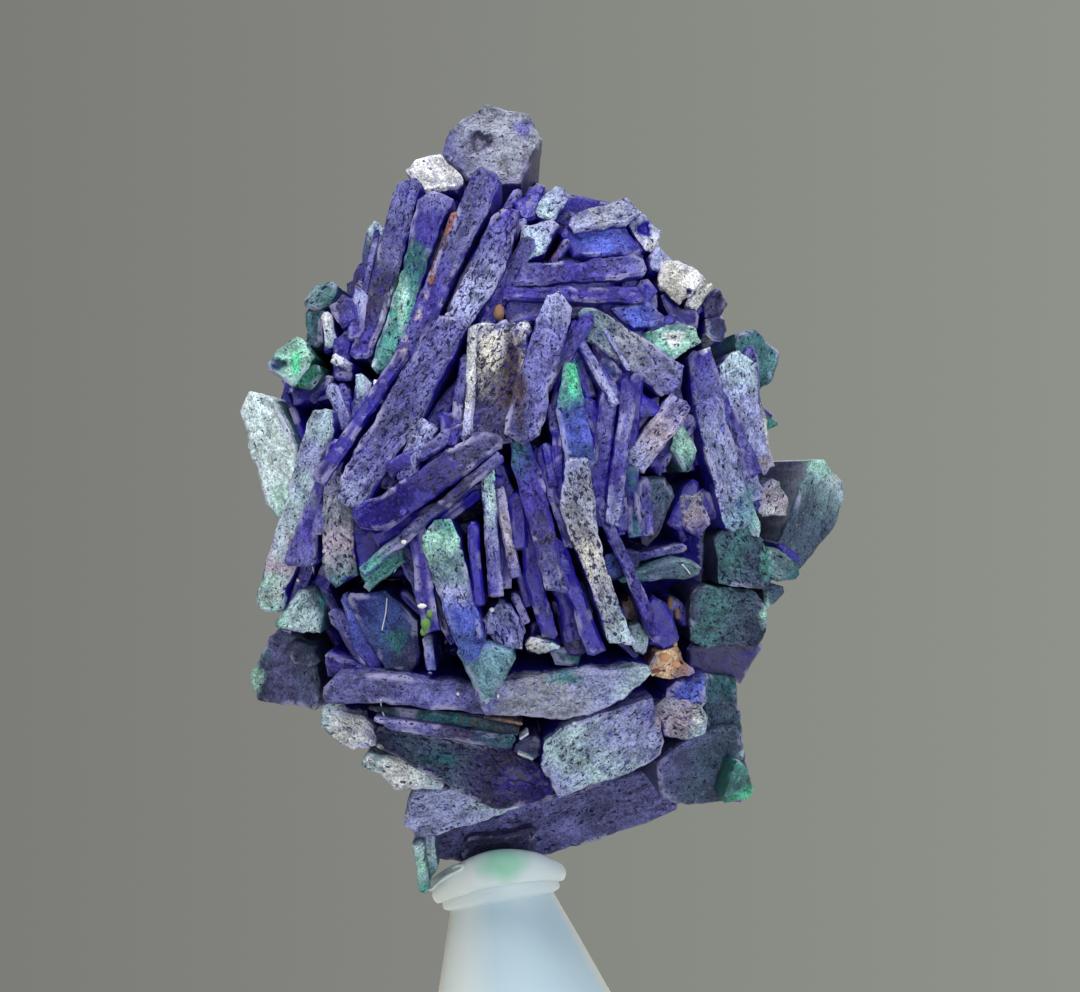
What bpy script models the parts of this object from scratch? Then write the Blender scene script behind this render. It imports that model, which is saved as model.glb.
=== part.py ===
"""Azurite specimen: one ball of intergrown bladed crystals on a milky plastic holder.

Units are metres in Blender. The readings below are in millimetres, as the front
view shows them: x to the right and z up, from the middle of the ball.
"""

import math
import random
from typing import NamedTuple

import bmesh
import bpy
from mathutils import Matrix, Vector

MM = 0.001

# The ball: where its middle stands over the foot of the holder, and the
# half width, half depth and half height of the surface that the crystals reach.
BALL_CENTRE = Vector((-3.89, -0.4, 39.0))
BALL_HALF = Vector((14.6, 13.0, 19.6))
CORE_HALF = Vector((10.5, 10.4, 13.8))

# The front readings were taken through a lens this far from the ball's middle,
# aimed at this point, so what stands nearer is drawn in by that ratio.
VIEW_DISTANCE = 450.0
VIEW_AIM = Vector((2.0, 0.0, -1.3))

FACE_EASE = 0.55
FACE_STEEPEST = 0.85
ROOT_TAPER = 0.86
ROOT_SPREAD = 0.5
EDGE_ROOM = 0.13
FRONT_DEPTH = 5.2

# Side and back crystals grow in books of near-parallel blades.
BOOK_SEED = 41
BOOK_COUNT = 38
BOOK_BLADES = (2, 3)
BOOK_LENGTH = (6.0, 11.0)
BOOK_WIDTH = (1.5, 3.0)
BOOK_GAP = 0.35
BOOK_LIFT = (-0.8, 1.2)
BOOK_DEPTH = 5.0
BOOK_FRONT_LIMIT = -0.30
BOOK_FOOT_LIMIT = -0.84
BOOK_REACH = Vector((11.9, 12.2, 15.6))
BOOK_TUCK = 0.35
BOOK_TUCKS = 9
BOOK_SHORTEN = 0.88
BOOK_LEAN = 0.75
BOOK_SLIDE = 3.0
BOOK_HALF = 0.9
BOOK_TIPS = "fapb"
BOOK_ROOTS = "faf"
# Below this height on the unit ball the books lie nearly level, as the ledges in front do.
LEDGE_LEVEL = -0.45
LEDGE_TURN = 1.35
LEDGE_LEAN = 0.35

# The holder: a cone with a rolled lip, leaning, cut flat at its foot.
RIM_CENTRE = Vector((-0.15, 0.4, -20.15))
LEAN_RIGHT = math.radians(10.4)
CONE_SLOPE = math.tan(math.radians(19.2))
LIP_RADIUS = 2.85
LIP_ROLL = 0.55
BEAD_RADIUS = 2.72
BEAD_ROLL = 0.26
BEAD_DROP = 1.15
NECK_RADIUS = 2.62
NECK_DROP = 1.45
MOUTH_DEPTH = 1.5
CONE_LENGTH = 24.0
COLLAR_RISE = 1.55
COLLAR_EASE = 1.5
MOUTH_FLOOR = 1.4
MOUTH_WALL = 2.05
FLOOR_ROUND = 0.35
LIP_ARC = (180.0, -50.0, 6)
BEAD_ARC = (40.0, -50.0, 2)
HOLDER_SIDES = 30
GAP = 0.32
FLAT_ANGLE = math.radians(0.3)
SOFT_ANGLE = math.radians(40.0)
CORE_SWELL = 0.06

# Ends of a blade, as shares of its width: a point, a slant and a nipped corner.
POINT_BACK = 0.5
POINT_OVER = 0.12
SLANT_BACK = 0.7
NIP_RIGHT = 0.15
NIP_MIDDLE = 0.45
NIP_LEFT = 0.1

# Linear colour, roughness and translucency of each material.
AZURITE = ((0.055, 0.040, 0.320), 0.55, 0.0)
MILKY_PLASTIC = ((0.62, 0.71, 0.74), 0.35, 0.3)


class Facet(NamedTuple):
    """A crystal read by its outline: how far it stands out, and its depth."""

    name: str
    outline: tuple
    lift: float
    depth: float = FRONT_DEPTH


class Strip(NamedTuple):
    """A crystal read by its two ends and width; ends names the form of each end."""

    name: str
    tip: tuple
    root: tuple
    wide: float
    lift: float
    ends: str = "nn"
    depth: float = FRONT_DEPTH


UPPER_LEFT = (
    Facet("summit_end", ((-2.9, 15.9), (-2.5, 17.0), (-0.8, 18.25), (1.4, 17.6), (2.1, 16.5),
                         (1.0, 14.5), (-1.6, 14.6)), -1.2, 6.0),
    Facet("white_end", ((-4.75, 15.15), (-4.2, 15.6), (-2.95, 15.8), (-1.65, 14.5), (-2.2, 14.0),
                        (-4.0, 13.9)), 0.1),
    Strip("tall_blade_a", (-4.4, 14.6), (-7.1, 5.5), 1.3, 0.2, "an"),
    Facet("tall_blade_b", ((-4.1, 13.7), (-3.3, 14.1), (-2.4, 13.6), (-3.6, 10.5), (-5.2, 5.4),
                           (-6.1, 4.6), (-6.5, 5.1), (-5.0, 10.0)), 0.6),
    Strip("tall_blade_c", (-0.5, 15.0), (-5.2, 4.8), 1.35, 0.4, "pn"),
    Facet("tall_blade_d", ((-0.4, 12.6), (0.4, 13.3), (0.9, 12.9), (0.6, 11.0), (-0.1, 9.2),
                           (-1.6, 7.2), (-2.9, 7.6), (-1.7, 10.0)), 1.1),
    Facet("great_diagonal", ((-3.0, 7.8), (-1.4, 7.6), (-4.0, 2.6), (-7.0, -2.0), (-8.2, -1.7),
                             (-7.8, 0.2), (-4.2, 6.0)), 1.3, 5.6),
    Strip("knob_blade", (-6.2, 12.6), (-6.5, 9.4), 0.95, -0.4, "pn"),
    Facet("grey_green_end", ((-10.0, 8.3), (-9.3, 9.3), (-8.5, 9.5), (-8.0, 9.1), (-8.6, 8.2),
                             (-9.3, 7.9)), 0.0),
    Facet("violet_end", ((-8.6, 8.2), (-8.0, 8.8), (-7.4, 8.6), (-7.1, 7.6), (-7.9, 7.2)), 0.5),
    Strip("side_shard_a", (-9.2, 8.2), (-9.4, 6.0), 1.0, -0.4, "nn"),
    Strip("side_shard_b", (-8.7, 8.0), (-8.5, 6.1), 0.6, 0.4, "pn"),
    Strip("side_shard_c", (-6.9, 9.4), (-7.3, 6.4), 0.8, 0.2, "an"),
    Strip("side_shard_d", (-7.9, 7.2), (-7.9, 4.6), 0.9, 0.0, "bn"),
    Facet("green_end", ((-11.8, 5.0), (-11.2, 6.0), (-10.0, 6.85), (-9.35, 5.6), (-9.8, 4.9),
                        (-10.4, 4.2)), 0.5),
    Facet("green_side", ((-9.8, 5.1), (-9.2, 5.6), (-8.9, 4.7), (-9.5, 4.0), (-10.4, 4.2)), 0.0),
    Strip("fan_shard_a", (-8.6, 4.4), (-7.6, 2.0), 0.7, 0.1, "pn"),
    Strip("fan_shard_b", (-6.8, 5.0), (-7.1, 2.4), 0.8, 0.2, "an"),
)

LEFT_SIDE = (
    Facet("pale_blade", ((-12.6, 3.9), (-11.4, 3.6), (-10.2, 1.0), (-10.1, -2.2), (-11.0, -2.6),
                         (-11.7, -1.8), (-12.4, 0.6), (-13.05, 3.0)), 0.3),
    Facet("long_grey_blade", ((-9.2, 3.0), (-8.3, 3.2), (-8.2, 2.0), (-11.0, -6.5), (-11.3, -7.4),
                              (-12.3, -7.0), (-12.4, -6.5)), 0.9),
    Facet("flat_end_blade", ((-9.3, 0.0), (-8.8, 0.0), (-9.1, -4.5), (-9.4, -4.85), (-10.9, -4.8)),
          0.9),
    Strip("violet_blade", (-8.1, 1.6), (-9.0, -3.3), 0.9, 1.3, "pn"),
    Facet("cream_blade", ((-8.8, 0.2), (-7.9, 0.0), (-7.4, -2.2), (-7.3, -5.3), (-8.3, -5.9),
                          (-8.9, -5.4)), 1.2),
    Facet("left_lump", ((-10.6, -6.6), (-9.9, -5.8), (-9.3, -5.7), (-8.7, -6.9), (-8.9, -8.1),
                        (-11.4, -8.0), (-11.2, -7.5)), 0.7, 3.4),
    Facet("dark_block", ((-11.5, -8.1), (-12.1, -9.0), (-12.7, -10.5), (-12.2, -11.55),
                         (-9.0, -11.95), (-8.7, -11.0), (-9.2, -9.1), (-10.0, -8.2)), -0.2),
    Facet("dark_knob", ((-10.5, -8.7), (-9.4, -8.8), (-9.0, -9.5), (-9.7, -10.1), (-10.7, -9.6)),
          0.2, 2.5),
    Facet("steel_blade", ((-9.3, -5.3), (-8.8, -5.6), (-7.1, -9.0), (-6.5, -10.0), (-7.3, -9.5),
                          (-9.2, -5.9)), 0.0),
    Facet("violet_edge_blade", ((-8.0, -6.2), (-7.6, -6.1), (-5.8, -9.9), (-6.6, -10.1),
                                (-7.4, -9.0)), 0.2),
    Facet("flat_blue_face", ((-7.8, -6.2), (-5.7, -6.0), (-4.1, -7.6), (-4.2, -10.1),
                             (-5.8, -10.1)), 0.3),
    Facet("left_blue_face", ((-7.6, -1.8), (-4.9, -2.3), (-4.8, -3.3), (-6.0, -4.6), (-7.1, -5.1)),
          0.5),
    Facet("green_box", ((-7.1, -5.1), (-4.8, -3.6), (-4.6, -4.6), (-5.9, -5.5), (-6.5, -6.1),
                        (-6.9, -5.9)), 0.9),
)

CROSSING = (
    Facet("crossing_blade", ((-7.7, -2.1), (-5.9, -1.2), (-1.0, 1.95), (0.1, 1.9), (0.1, 1.1),
                             (-5.7, -3.1), (-7.0, -2.9)), 2.0, 4.6),
    Strip("crossing_rim", (0.1, 0.75), (-7.0, -5.2), 0.6, 1.7, "nn", 4.0),
    Strip("small_pitted", (-3.6, 2.5), (-4.9, -0.6), 1.1, 0.9, "nn"),
    Facet("blue_patch", ((-3.2, 3.0), (-1.9, 2.8), (-1.7, 1.2), (-3.0, 1.0)), 0.4),
    Facet("column", ((-1.6, 7.2), (-1.0, 7.4), (1.4, 7.4), (1.6, 7.0), (0.6, 1.2), (-1.9, 1.2)),
          0.9),
    Facet("slanted_blade", ((2.3, 8.7), (2.9, 9.0), (3.7, 8.2), (3.6, 7.7), (2.0, 1.8), (1.1, 1.2),
                            (0.2, 1.8), (0.2, 2.6)), 1.5),
    Strip("upper_ledge", (7.4, 10.3), (0.3, 9.7), 1.15, 0.6, "na"),
    Strip("lower_ledge", (7.3, 8.8), (0.1, 8.85), 0.75, 0.4, "nn"),
    Facet("navy_corner", ((0.1, 8.6), (2.6, 8.6), (2.1, 7.3), (0.3, 7.3)), -0.2),
    Facet("blue_corner", ((7.2, 9.8), (7.9, 9.0), (7.4, 8.1), (6.3, 8.2)), 0.4),
    Facet("lavender_wedge", ((5.3, 8.2), (7.6, 8.5), (8.5, 7.3), (6.6, 7.0)), 0.5),
    Facet("whitish_block", ((1.1, 12.3), (2.7, 12.5), (3.0, 12.2), (2.3, 10.9), (1.0, 10.4)), 0.4),
    Facet("upper_tip", ((1.6, 12.8), (2.2, 13.7), (2.7, 14.3), (3.3, 14.1), (3.5, 13.5),
                        (2.6, 12.4)), -0.3),
    Facet("navy_side", ((0.6, 13.4), (2.2, 14.2), (1.9, 12.6), (1.0, 12.3)), -0.8),
)

RIGHT_SIDE = (
    Facet("arch_left", ((3.3, 12.6), (4.0, 13.05), (6.3, 13.7), (7.1, 12.8), (6.4, 12.2),
                        (3.7, 12.0)), 0.1),
    Facet("arch_right", ((6.4, 13.6), (7.1, 12.9), (8.2, 12.0), (8.0, 11.3), (7.4, 10.7),
                         (6.4, 12.2)), 0.1),
    Facet("arch_inner", ((3.0, 12.1), (6.4, 12.3), (7.3, 10.7), (3.6, 10.7)), -0.7),
    Facet("arch_foot", ((7.4, 10.7), (8.0, 11.3), (8.3, 10.8), (8.2, 9.9), (7.6, 10.0)), 0.2),
    Facet("cream_end_a", ((8.1, 10.6), (8.5, 10.75), (9.95, 10.05), (10.3, 9.4), (9.0, 8.2),
                          (7.95, 9.2)), 0.6),
    Facet("cream_end_b", ((9.1, 8.0), (9.7, 9.0), (10.85, 9.5), (10.3, 8.5), (9.9, 8.0)), 0.5),
    Facet("navy_below_cream", ((8.0, 9.0), (9.0, 8.1), (10.1, 8.1), (10.0, 7.2), (9.4, 6.9),
                               (8.5, 7.3)), 0.1),
    Facet("dark_knob_upper", ((10.9, 9.3), (11.5, 8.4), (11.0, 7.6), (10.3, 7.7), (10.1, 8.4)),
          0.5),
    Facet("dark_knob_lower", ((10.3, 7.6), (11.2, 7.7), (11.35, 7.1), (11.2, 6.5), (10.3, 6.5)),
          0.5),
    Facet("broad_diagonal", ((4.0, 8.2), (5.0, 8.1), (9.2, 5.2), (9.0, 4.0), (8.2, 3.7),
                             (4.3, 6.6)), 0.9),
    Facet("green_crust", ((7.3, 6.9), (8.6, 7.4), (9.9, 7.2), (10.1, 6.5), (9.0, 5.6), (8.3, 5.2),
                          (7.3, 6.0)), 1.3, 3.5),
    Facet("fan_face", ((4.5, 6.8), (6.3, 4.7), (5.8, 4.2), (4.8, 5.0)), 0.4),
    Strip("fan_blade", (3.9, 6.8), (5.8, 3.2), 0.5, 1.0, "nn"),
    Facet("green_spot_blade", ((3.2, 5.4), (3.7, 5.4), (4.3, 3.5), (4.9, 0.5), (4.2, -0.4),
                               (3.3, 0.1), (2.8, 3.0)), 1.2),
    Strip("thin_upright", (6.6, 4.8), (5.6, -2.9), 0.8, 1.2, "an"),
    Facet("blue_facet", ((6.6, 4.4), (8.3, 2.8), (6.8, 2.6)), 0.7),
    Strip("pale_diagonal", (9.2, 3.6), (6.7, 0.1), 1.25, 1.0, "nn"),
    Strip("dark_green_blade", (6.5, 0.2), (6.9, -3.5), 0.75, 0.7, "nn"),
    Facet("green_tipped", ((8.7, 2.2), (9.0, 2.6), (9.85, 1.0), (9.3, -0.4), (8.6, 1.0)), 0.8),
    Facet("dim_block", ((7.0, -0.4), (8.4, -0.3), (8.7, -1.4), (8.0, -3.2), (7.2, -4.0)), 0.2),
    Facet("tan_block", ((8.9, -1.2), (10.0, -1.0), (10.6, -2.7), (10.0, -3.4), (9.2, -2.9)), 0.6),
    Facet("right_violet_blade", ((9.4, 6.0), (10.6, 6.1), (11.6, 3.0), (10.9, 0.6), (10.0, 1.6)),
          0.9),
    Strip("right_blade_a", (10.4, 3.6), (12.1, -3.0), 1.7, 1.3, "an"),
    Strip("right_blade_b", (11.8, 6.0), (12.6, 0.4), 1.6, 0.6, "pn"),
    Strip("right_blade_c", (11.9, 1.4), (13.0, -1.6), 0.9, 1.0, "an"),
    Facet("teal_block", ((11.8, 6.8), (12.8, 7.0), (13.95, 5.8), (13.6, 4.4), (12.7, 4.0),
                         (12.0, 5.4)), -0.2),
    Facet("pink_column", ((12.5, 3.6), (13.2, 3.3), (13.8, 0.2), (13.2, -0.2), (12.6, 0.5)), 0.2),
    Facet("green_spike", ((12.9, 3.2), (14.1, 2.35), (13.2, 2.0)), 0.2, 3.0),
    Facet("white_block", ((13.1, -0.8), (13.9, -0.2), (14.4, -1.7), (14.3, -2.3), (13.1, -2.4)),
          0.6),
    Facet("green_leg", ((11.4, -0.8), (12.4, -0.8), (13.1, -2.6), (13.1, -3.4), (12.7, -3.3),
                        (11.9, -2.4)), 1.5),
    Facet("far_prism", ((15.4, 0.55), (16.2, 0.5), (17.4, -0.7), (17.5, -1.6), (17.0, -2.8),
                        (15.0, -5.1), (13.9, -5.2), (13.8, -3.6)), -2.4, 5.0),
    Facet("right_tip", ((13.2, -4.1), (14.0, -3.9), (14.9, -4.7), (15.0, -5.4), (14.0, -5.7),
                        (13.3, -5.3)), 0.3),
    Facet("right_heel", ((13.2, -5.7), (14.4, -5.9), (13.9, -6.6), (13.3, -7.2)), -0.2),
    Facet("green_block_a", ((10.6, -3.5), (11.5, -2.7), (12.7, -2.7), (13.4, -3.8), (13.6, -5.4),
                            (13.4, -6.0), (10.9, -5.7), (10.8, -4.4)), 1.1),
    Facet("green_block_b", ((9.4, -6.0), (10.2, -5.75), (12.4, -5.9), (13.5, -6.8), (13.5, -8.2),
                            (13.0, -8.9), (10.4, -9.0), (9.6, -8.6)), 0.9),
    Facet("navy_block", ((9.4, -8.7), (13.3, -8.6), (12.8, -9.5), (12.0, -10.6), (10.1, -10.3),
                         (9.4, -9.9)), 0.0),
    Facet("thin_ledge", ((5.8, -5.75), (7.2, -4.95), (8.9, -4.35), (9.6, -4.5), (10.4, -5.1),
                         (9.3, -5.5), (7.5, -5.6)), 1.7, 3.6),
    Facet("slate_face", ((4.9, -4.3), (6.0, -4.0), (7.2, -4.2), (7.0, -5.0), (5.5, -5.7)), 0.5),
    Facet("glossy_lump", ((7.2, -6.8), (7.7, -6.3), (8.4, -6.7), (8.9, -7.6), (9.1, -8.7),
                          (8.2, -9.0), (7.4, -8.6)), 0.0, 3.5),
    Facet("tan_lump", ((6.1, -6.4), (7.1, -6.3), (7.3, -7.7), (6.3, -7.5)), -0.2, 3.0),
)

CENTRE_LOW = (
    Facet("cream_pitted", ((3.3, 0.7), (4.4, 0.5), (5.3, -5.0), (6.9, -8.9), (5.5, -8.7),
                           (4.4, -5.6), (3.1, -2.2)), 1.8),
    Facet("centre_blade", ((0.5, 1.9), (1.4, 1.75), (2.2, -0.5), (3.5, -6.4), (2.3, -6.0),
                           (0.6, 0.2)), 1.3),
    Strip("centre_sliver_a", (-0.7, 0.5), (-0.2, -6.4), 0.75, 1.4, "pn"),
    Strip("centre_sliver_b", (-0.1, -0.8), (0.8, -5.5), 0.55, 1.2, "nn"),
    Strip("centre_sliver_c", (2.2, 1.4), (2.7, -0.9), 0.5, 1.0, "pn"),
    Strip("centre_sliver_d", (2.9, 2.0), (3.0, -1.8), 0.55, 0.9, "nn"),
    Facet("dark_violet_blade", ((1.0, -2.0), (1.6, -2.2), (2.4, -6.2), (3.1, -8.5), (2.2, -8.3),
                                (1.3, -6.0)), 0.8),
    Strip("dark_inner_blade", (3.3, -6.2), (4.1, -9.3), 1.5, 0.4, "nn"),
    Facet("green_top_blade", ((-3.9, -3.3), (-3.3, -2.6), (-2.5, -2.4), (-2.1, -3.4),
                              (-0.7, -8.6), (-1.2, -9.6), (-1.9, -9.5), (-3.95, -4.0)), 1.9),
    Facet("green_point", ((-2.3, -8.8), (-0.8, -8.6), (1.0, -9.1), (-0.2, -11.3), (-0.6, -11.85),
                          (-1.0, -11.7), (-1.7, -10.1)), 2.0),
    Facet("dark_thin_blade", ((-4.3, -3.8), (-3.9, -4.1), (-2.2, -8.6), (-2.5, -8.9),
                              (-3.6, -6.6)), 1.0),
    Strip("small_lavender", (-3.7, -8.4), (-3.4, -10.1), 0.5, 0.9, "nn"),
    Facet("rilled_patch", ((-0.9, -7.6), (0.0, -6.7), (0.6, -6.8), (1.3, -8.0), (1.1, -8.95),
                           (0.2, -9.0), (-0.7, -8.3)), 1.2),
    Facet("pale_rim", ((1.1, -8.9), (1.6, -8.4), (2.4, -8.6), (3.3, -9.0), (1.9, -9.2)), 1.2),
    Facet("slate_rim", ((2.4, -8.9), (4.1, -8.9), (4.1, -9.8), (2.8, -9.7)), 0.6),
    Facet("heel_green", ((6.2, -8.0), (7.0, -7.7), (7.5, -8.0), (7.4, -9.4), (6.8, -9.1)), 1.0),
    Facet("ledge_wedge", ((-8.9, -9.0), (-7.9, -9.4), (-4.9, -10.6), (-7.0, -10.5),
                          (-8.7, -10.4)), 0.7),
    Facet("long_ledge_left", ((-9.0, -11.6), (-8.8, -10.8), (-8.2, -10.2), (-6.0, -10.3),
                              (-0.5, -10.9), (-0.3, -12.25), (-3.0, -12.0)), 1.4),
    Facet("long_ledge_right", ((-1.5, -10.9), (0.8, -10.4), (4.0, -9.95), (7.8, -9.9),
                               (7.0, -10.9), (6.4, -11.5), (4.5, -12.4), (3.0, -12.6),
                               (-0.8, -12.3)), 1.5),
)

BASE = (
    Facet("teal_under_ledge", ((-6.9, -11.8), (-1.0, -12.2), (1.0, -12.8), (0.9, -13.3),
                               (-1.0, -13.1), (-5.5, -12.4)), 0.5),
    Facet("thin_lavender_ledge", ((-6.6, -12.3), (-5.0, -12.45), (0.0, -13.3), (0.9, -13.25),
                                  (0.5, -14.05), (-0.2, -14.0), (-5.5, -12.95)), 1.1),
    Facet("small_bright_facet", ((0.5, -14.0), (1.2, -13.4), (2.0, -13.3), (2.1, -14.3),
                                 (1.6, -14.6), (1.0, -14.4)), 0.7),
    Facet("white_ledge", ((-9.0, -12.0), (-8.2, -12.0), (-6.9, -12.3), (-6.3, -12.8),
                          (-5.8, -13.8), (-7.4, -14.1), (-8.2, -13.6), (-9.0, -12.9)), 0.9),
    Facet("dark_plate", ((-6.3, -12.8), (-3.0, -13.3), (0.3, -14.0), (2.1, -14.9), (2.9, -15.8),
                         (2.3, -16.5), (0.0, -16.95), (-1.2, -16.5), (-6.2, -13.9)), 0.5),
    Facet("cream_ledge", ((-7.1, -14.9), (-6.7, -14.2), (-5.0, -14.4), (-3.0, -15.4),
                          (-2.8, -16.0), (-5.4, -15.95), (-6.1, -15.3)), 1.0),
    Facet("lavender_plate", ((-4.7, -16.6), (-4.4, -15.8), (-2.2, -15.7), (1.0, -16.8),
                             (1.1, -17.1), (-1.5, -17.95), (-3.3, -18.35), (-4.2, -18.2),
                             (-4.7, -17.8)), 0.4),
    Facet("pale_foot_blade", ((-4.3, -18.0), (-3.3, -18.2), (-3.15, -20.0), (-3.6, -20.8),
                              (-4.15, -19.9)), -2.6, 2.6),
    Facet("bottom_plate", ((-3.5, -18.3), (3.0, -16.2), (8.2, -14.6), (9.3, -15.2), (8.8, -16.8),
                           (5.0, -18.4), (2.2, -19.3), (-0.5, -20.0), (-3.3, -19.8)), -3.9, 5.6),
    Facet("foot_crystal", ((-2.0, -18.2), (1.8, -18.0), (1.6, -21.0), (-1.8, -21.3)), -4.2, 3.4),
    Facet("pitted_block", ((2.2, -13.4), (3.3, -12.6), (6.6, -11.6), (7.7, -11.4), (8.3, -13.7),
                           (8.2, -14.5), (7.4, -15.0), (3.0, -16.5), (2.0, -14.8)), 1.2),
    Facet("round_lump", ((7.7, -12.0), (8.3, -11.4), (9.9, -11.6), (10.4, -12.3), (10.3, -13.1),
                         (9.6, -13.6), (8.4, -13.4)), 1.5, 3.5),
    Facet("violet_lump", ((8.2, -11.2), (8.9, -10.5), (10.3, -10.2), (10.4, -12.0),
                          (9.5, -12.2)), 1.2),
    Facet("right_column", ((10.2, -10.1), (11.9, -10.5), (12.1, -12.0), (12.3, -14.5),
                           (10.6, -14.2), (10.2, -12.0)), 0.2),
    Facet("lower_right_band", ((7.9, -14.7), (10.0, -13.3), (12.0, -12.9), (12.4, -14.8),
                               (12.3, -16.5), (9.0, -16.7), (8.0, -16.4)), 0.2),
    Facet("green_wedge", ((11.3, -16.0), (12.0, -14.7), (12.35, -14.9), (12.8, -16.1),
                          (12.5, -16.5), (11.2, -16.55)), 0.4, 3.5),
)

# The whole outline of the crystals in the front view, which no back crystal passes.
SILHOUETTE = (
    (-2.5, 17.0), (-0.8, 18.25), (1.4, 17.5), (2.1, 16.5), (1.2, 14.8), (2.7, 14.3), (3.6, 13.2),
    (6.3, 13.7), (7.2, 12.8), (8.2, 12.1), (8.1, 11.0), (9.95, 10.05), (11.5, 8.4), (11.3, 7.0),
    (12.8, 7.0), (13.95, 5.8), (13.4, 4.0), (14.1, 2.35), (13.7, 0.8), (14.2, -0.6), (16.2, 0.5),
    (17.5, -0.7), (17.4, -2.0), (15.0, -5.1), (13.7, -6.9), (13.6, -8.3), (12.0, -10.6),
    (12.1, -13.0), (12.8, -16.1), (9.0, -16.65), (5.0, -18.4), (2.2, -19.3), (-3.3, -20.0),
    (-4.2, -18.2), (-4.7, -16.2), (-7.1, -15.0), (-9.0, -13.0), (-9.0, -11.95), (-12.2, -11.55),
    (-12.7, -10.5), (-11.4, -8.0), (-12.4, -6.8), (-11.0, -2.5), (-12.4, 0.6), (-13.05, 3.0),
    (-11.7, 4.9), (-11.2, 6.0), (-9.6, 7.4), (-10.0, 8.3), (-9.3, 9.3), (-7.3, 9.4),
    (-6.6, 12.6), (-4.7, 15.1), (-2.95, 15.8),
)

FRONT_CRYSTALS = UPPER_LEFT + LEFT_SIDE + CROSSING + RIGHT_SIDE + CENTRE_LOW + BASE


def inside_silhouette(point):
    """Whether the front view shows a point inside the crystals' outline."""
    ratio = VIEW_DISTANCE / (VIEW_DISTANCE + point.y)
    x = VIEW_AIM.x + (point.x - VIEW_AIM.x) * ratio
    z = VIEW_AIM.z + (point.z - VIEW_AIM.z) * ratio
    inside = False
    for (x1, z1), (x2, z2) in zip(SILHOUETTE, SILHOUETTE[1:] + SILHOUETTE[:1]):
        if (z1 > z) != (z2 > z) and x < x1 + (x2 - x1) * (z - z1) / (z2 - z1):
            inside = not inside
    return inside


def with_middles(ring):
    """The points of a ring and the middles between them."""
    return ring + [(point + ring[number - 1]) / 2 for number, point in enumerate(ring)]


def strip_outline(tip, root, wide, ends):
    """Outline of a blade between two points, each end plain, nipped, pointed or slanted."""
    along = (Vector(tip) - Vector(root)).normalized()
    across = Vector((-along.y, along.x)) * wide / 2
    points = []
    for middle, way, kind in ((Vector(tip), 1.0, ends[0]), (Vector(root), -1.0, ends[1])):
        back = along * wide * way
        left = middle + across * way
        right = middle - across * way
        if kind == "p":
            points += [right - back * POINT_BACK, middle + back * POINT_OVER,
                       left - back * POINT_BACK]
        elif kind == "a":
            points += [right - back * SLANT_BACK, left]
        elif kind == "b":
            points += [right, left - back * SLANT_BACK]
        elif kind == "f":
            points += [right, left]
        else:
            points += [right - back * NIP_RIGHT, middle + (right - middle) * NIP_MIDDLE,
                       left - back * NIP_LEFT]
    return [(point.x, point.y) for point in points]


def front_depth(x, z):
    """How far in front of the ball's middle its surface lies, and its slope there."""
    room = max(EDGE_ROOM, 1 - (x / BALL_HALF.x) ** 2 - (z / BALL_HALF.z) ** 2)
    root = math.sqrt(room)
    slope_x = BALL_HALF.y * x / (BALL_HALF.x ** 2 * root)
    slope_z = BALL_HALF.y * z / (BALL_HALF.z ** 2 * root)
    return -BALL_HALF.y * root, slope_x, slope_z


def eased(slope):
    """A crystal face leans only part of the way that the ball's surface does."""
    return max(-FACE_STEEPEST, min(FACE_STEEPEST, slope * FACE_EASE))


def crystal_rings(face, inward):
    """Rings of a crystal: the outline of its flat face, and its narrower root."""
    middle = sum(face, Vector()) / len(face)
    return face, [middle + (point - middle) * ROOT_TAPER + inward for point in face]


def front_rings(outline, lift, depth):
    """Rings of a front crystal, whose outline is what the front view shows."""
    mid_x = sum(x for x, z in outline) / len(outline)
    mid_z = sum(z for x, z in outline) / len(outline)
    surface, slope_x, slope_z = front_depth(mid_x, mid_z)
    outward = Vector((eased(slope_x), -1.0, eased(slope_z))).normalized()
    inward = Vector((-ROOT_SPREAD * mid_x / BALL_HALF.x, 1.0,
                     -ROOT_SPREAD * mid_z / BALL_HALF.z)) * depth
    eye = Vector((VIEW_AIM.x, -VIEW_DISTANCE, VIEW_AIM.z))
    near = 1 + (surface - lift) / VIEW_DISTANCE
    anchor = eye + (Vector((mid_x, 0.0, mid_z)) - eye) * near
    face = []
    for x, z in outline:
        ray = Vector((x, 0.0, z)) - eye
        face.append(eye + ray * ((anchor - eye).dot(outward) / ray.dot(outward)))
    return crystal_rings(face, inward)


def book_rings(centre, normal, along, outline, depth):
    """Rings of a side or back crystal, whose outline lies across the ball's surface."""
    across = normal.cross(along)
    face = [centre + along * u + across * v for u, v in outline]
    return crystal_rings(face, normal * -depth)


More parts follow.
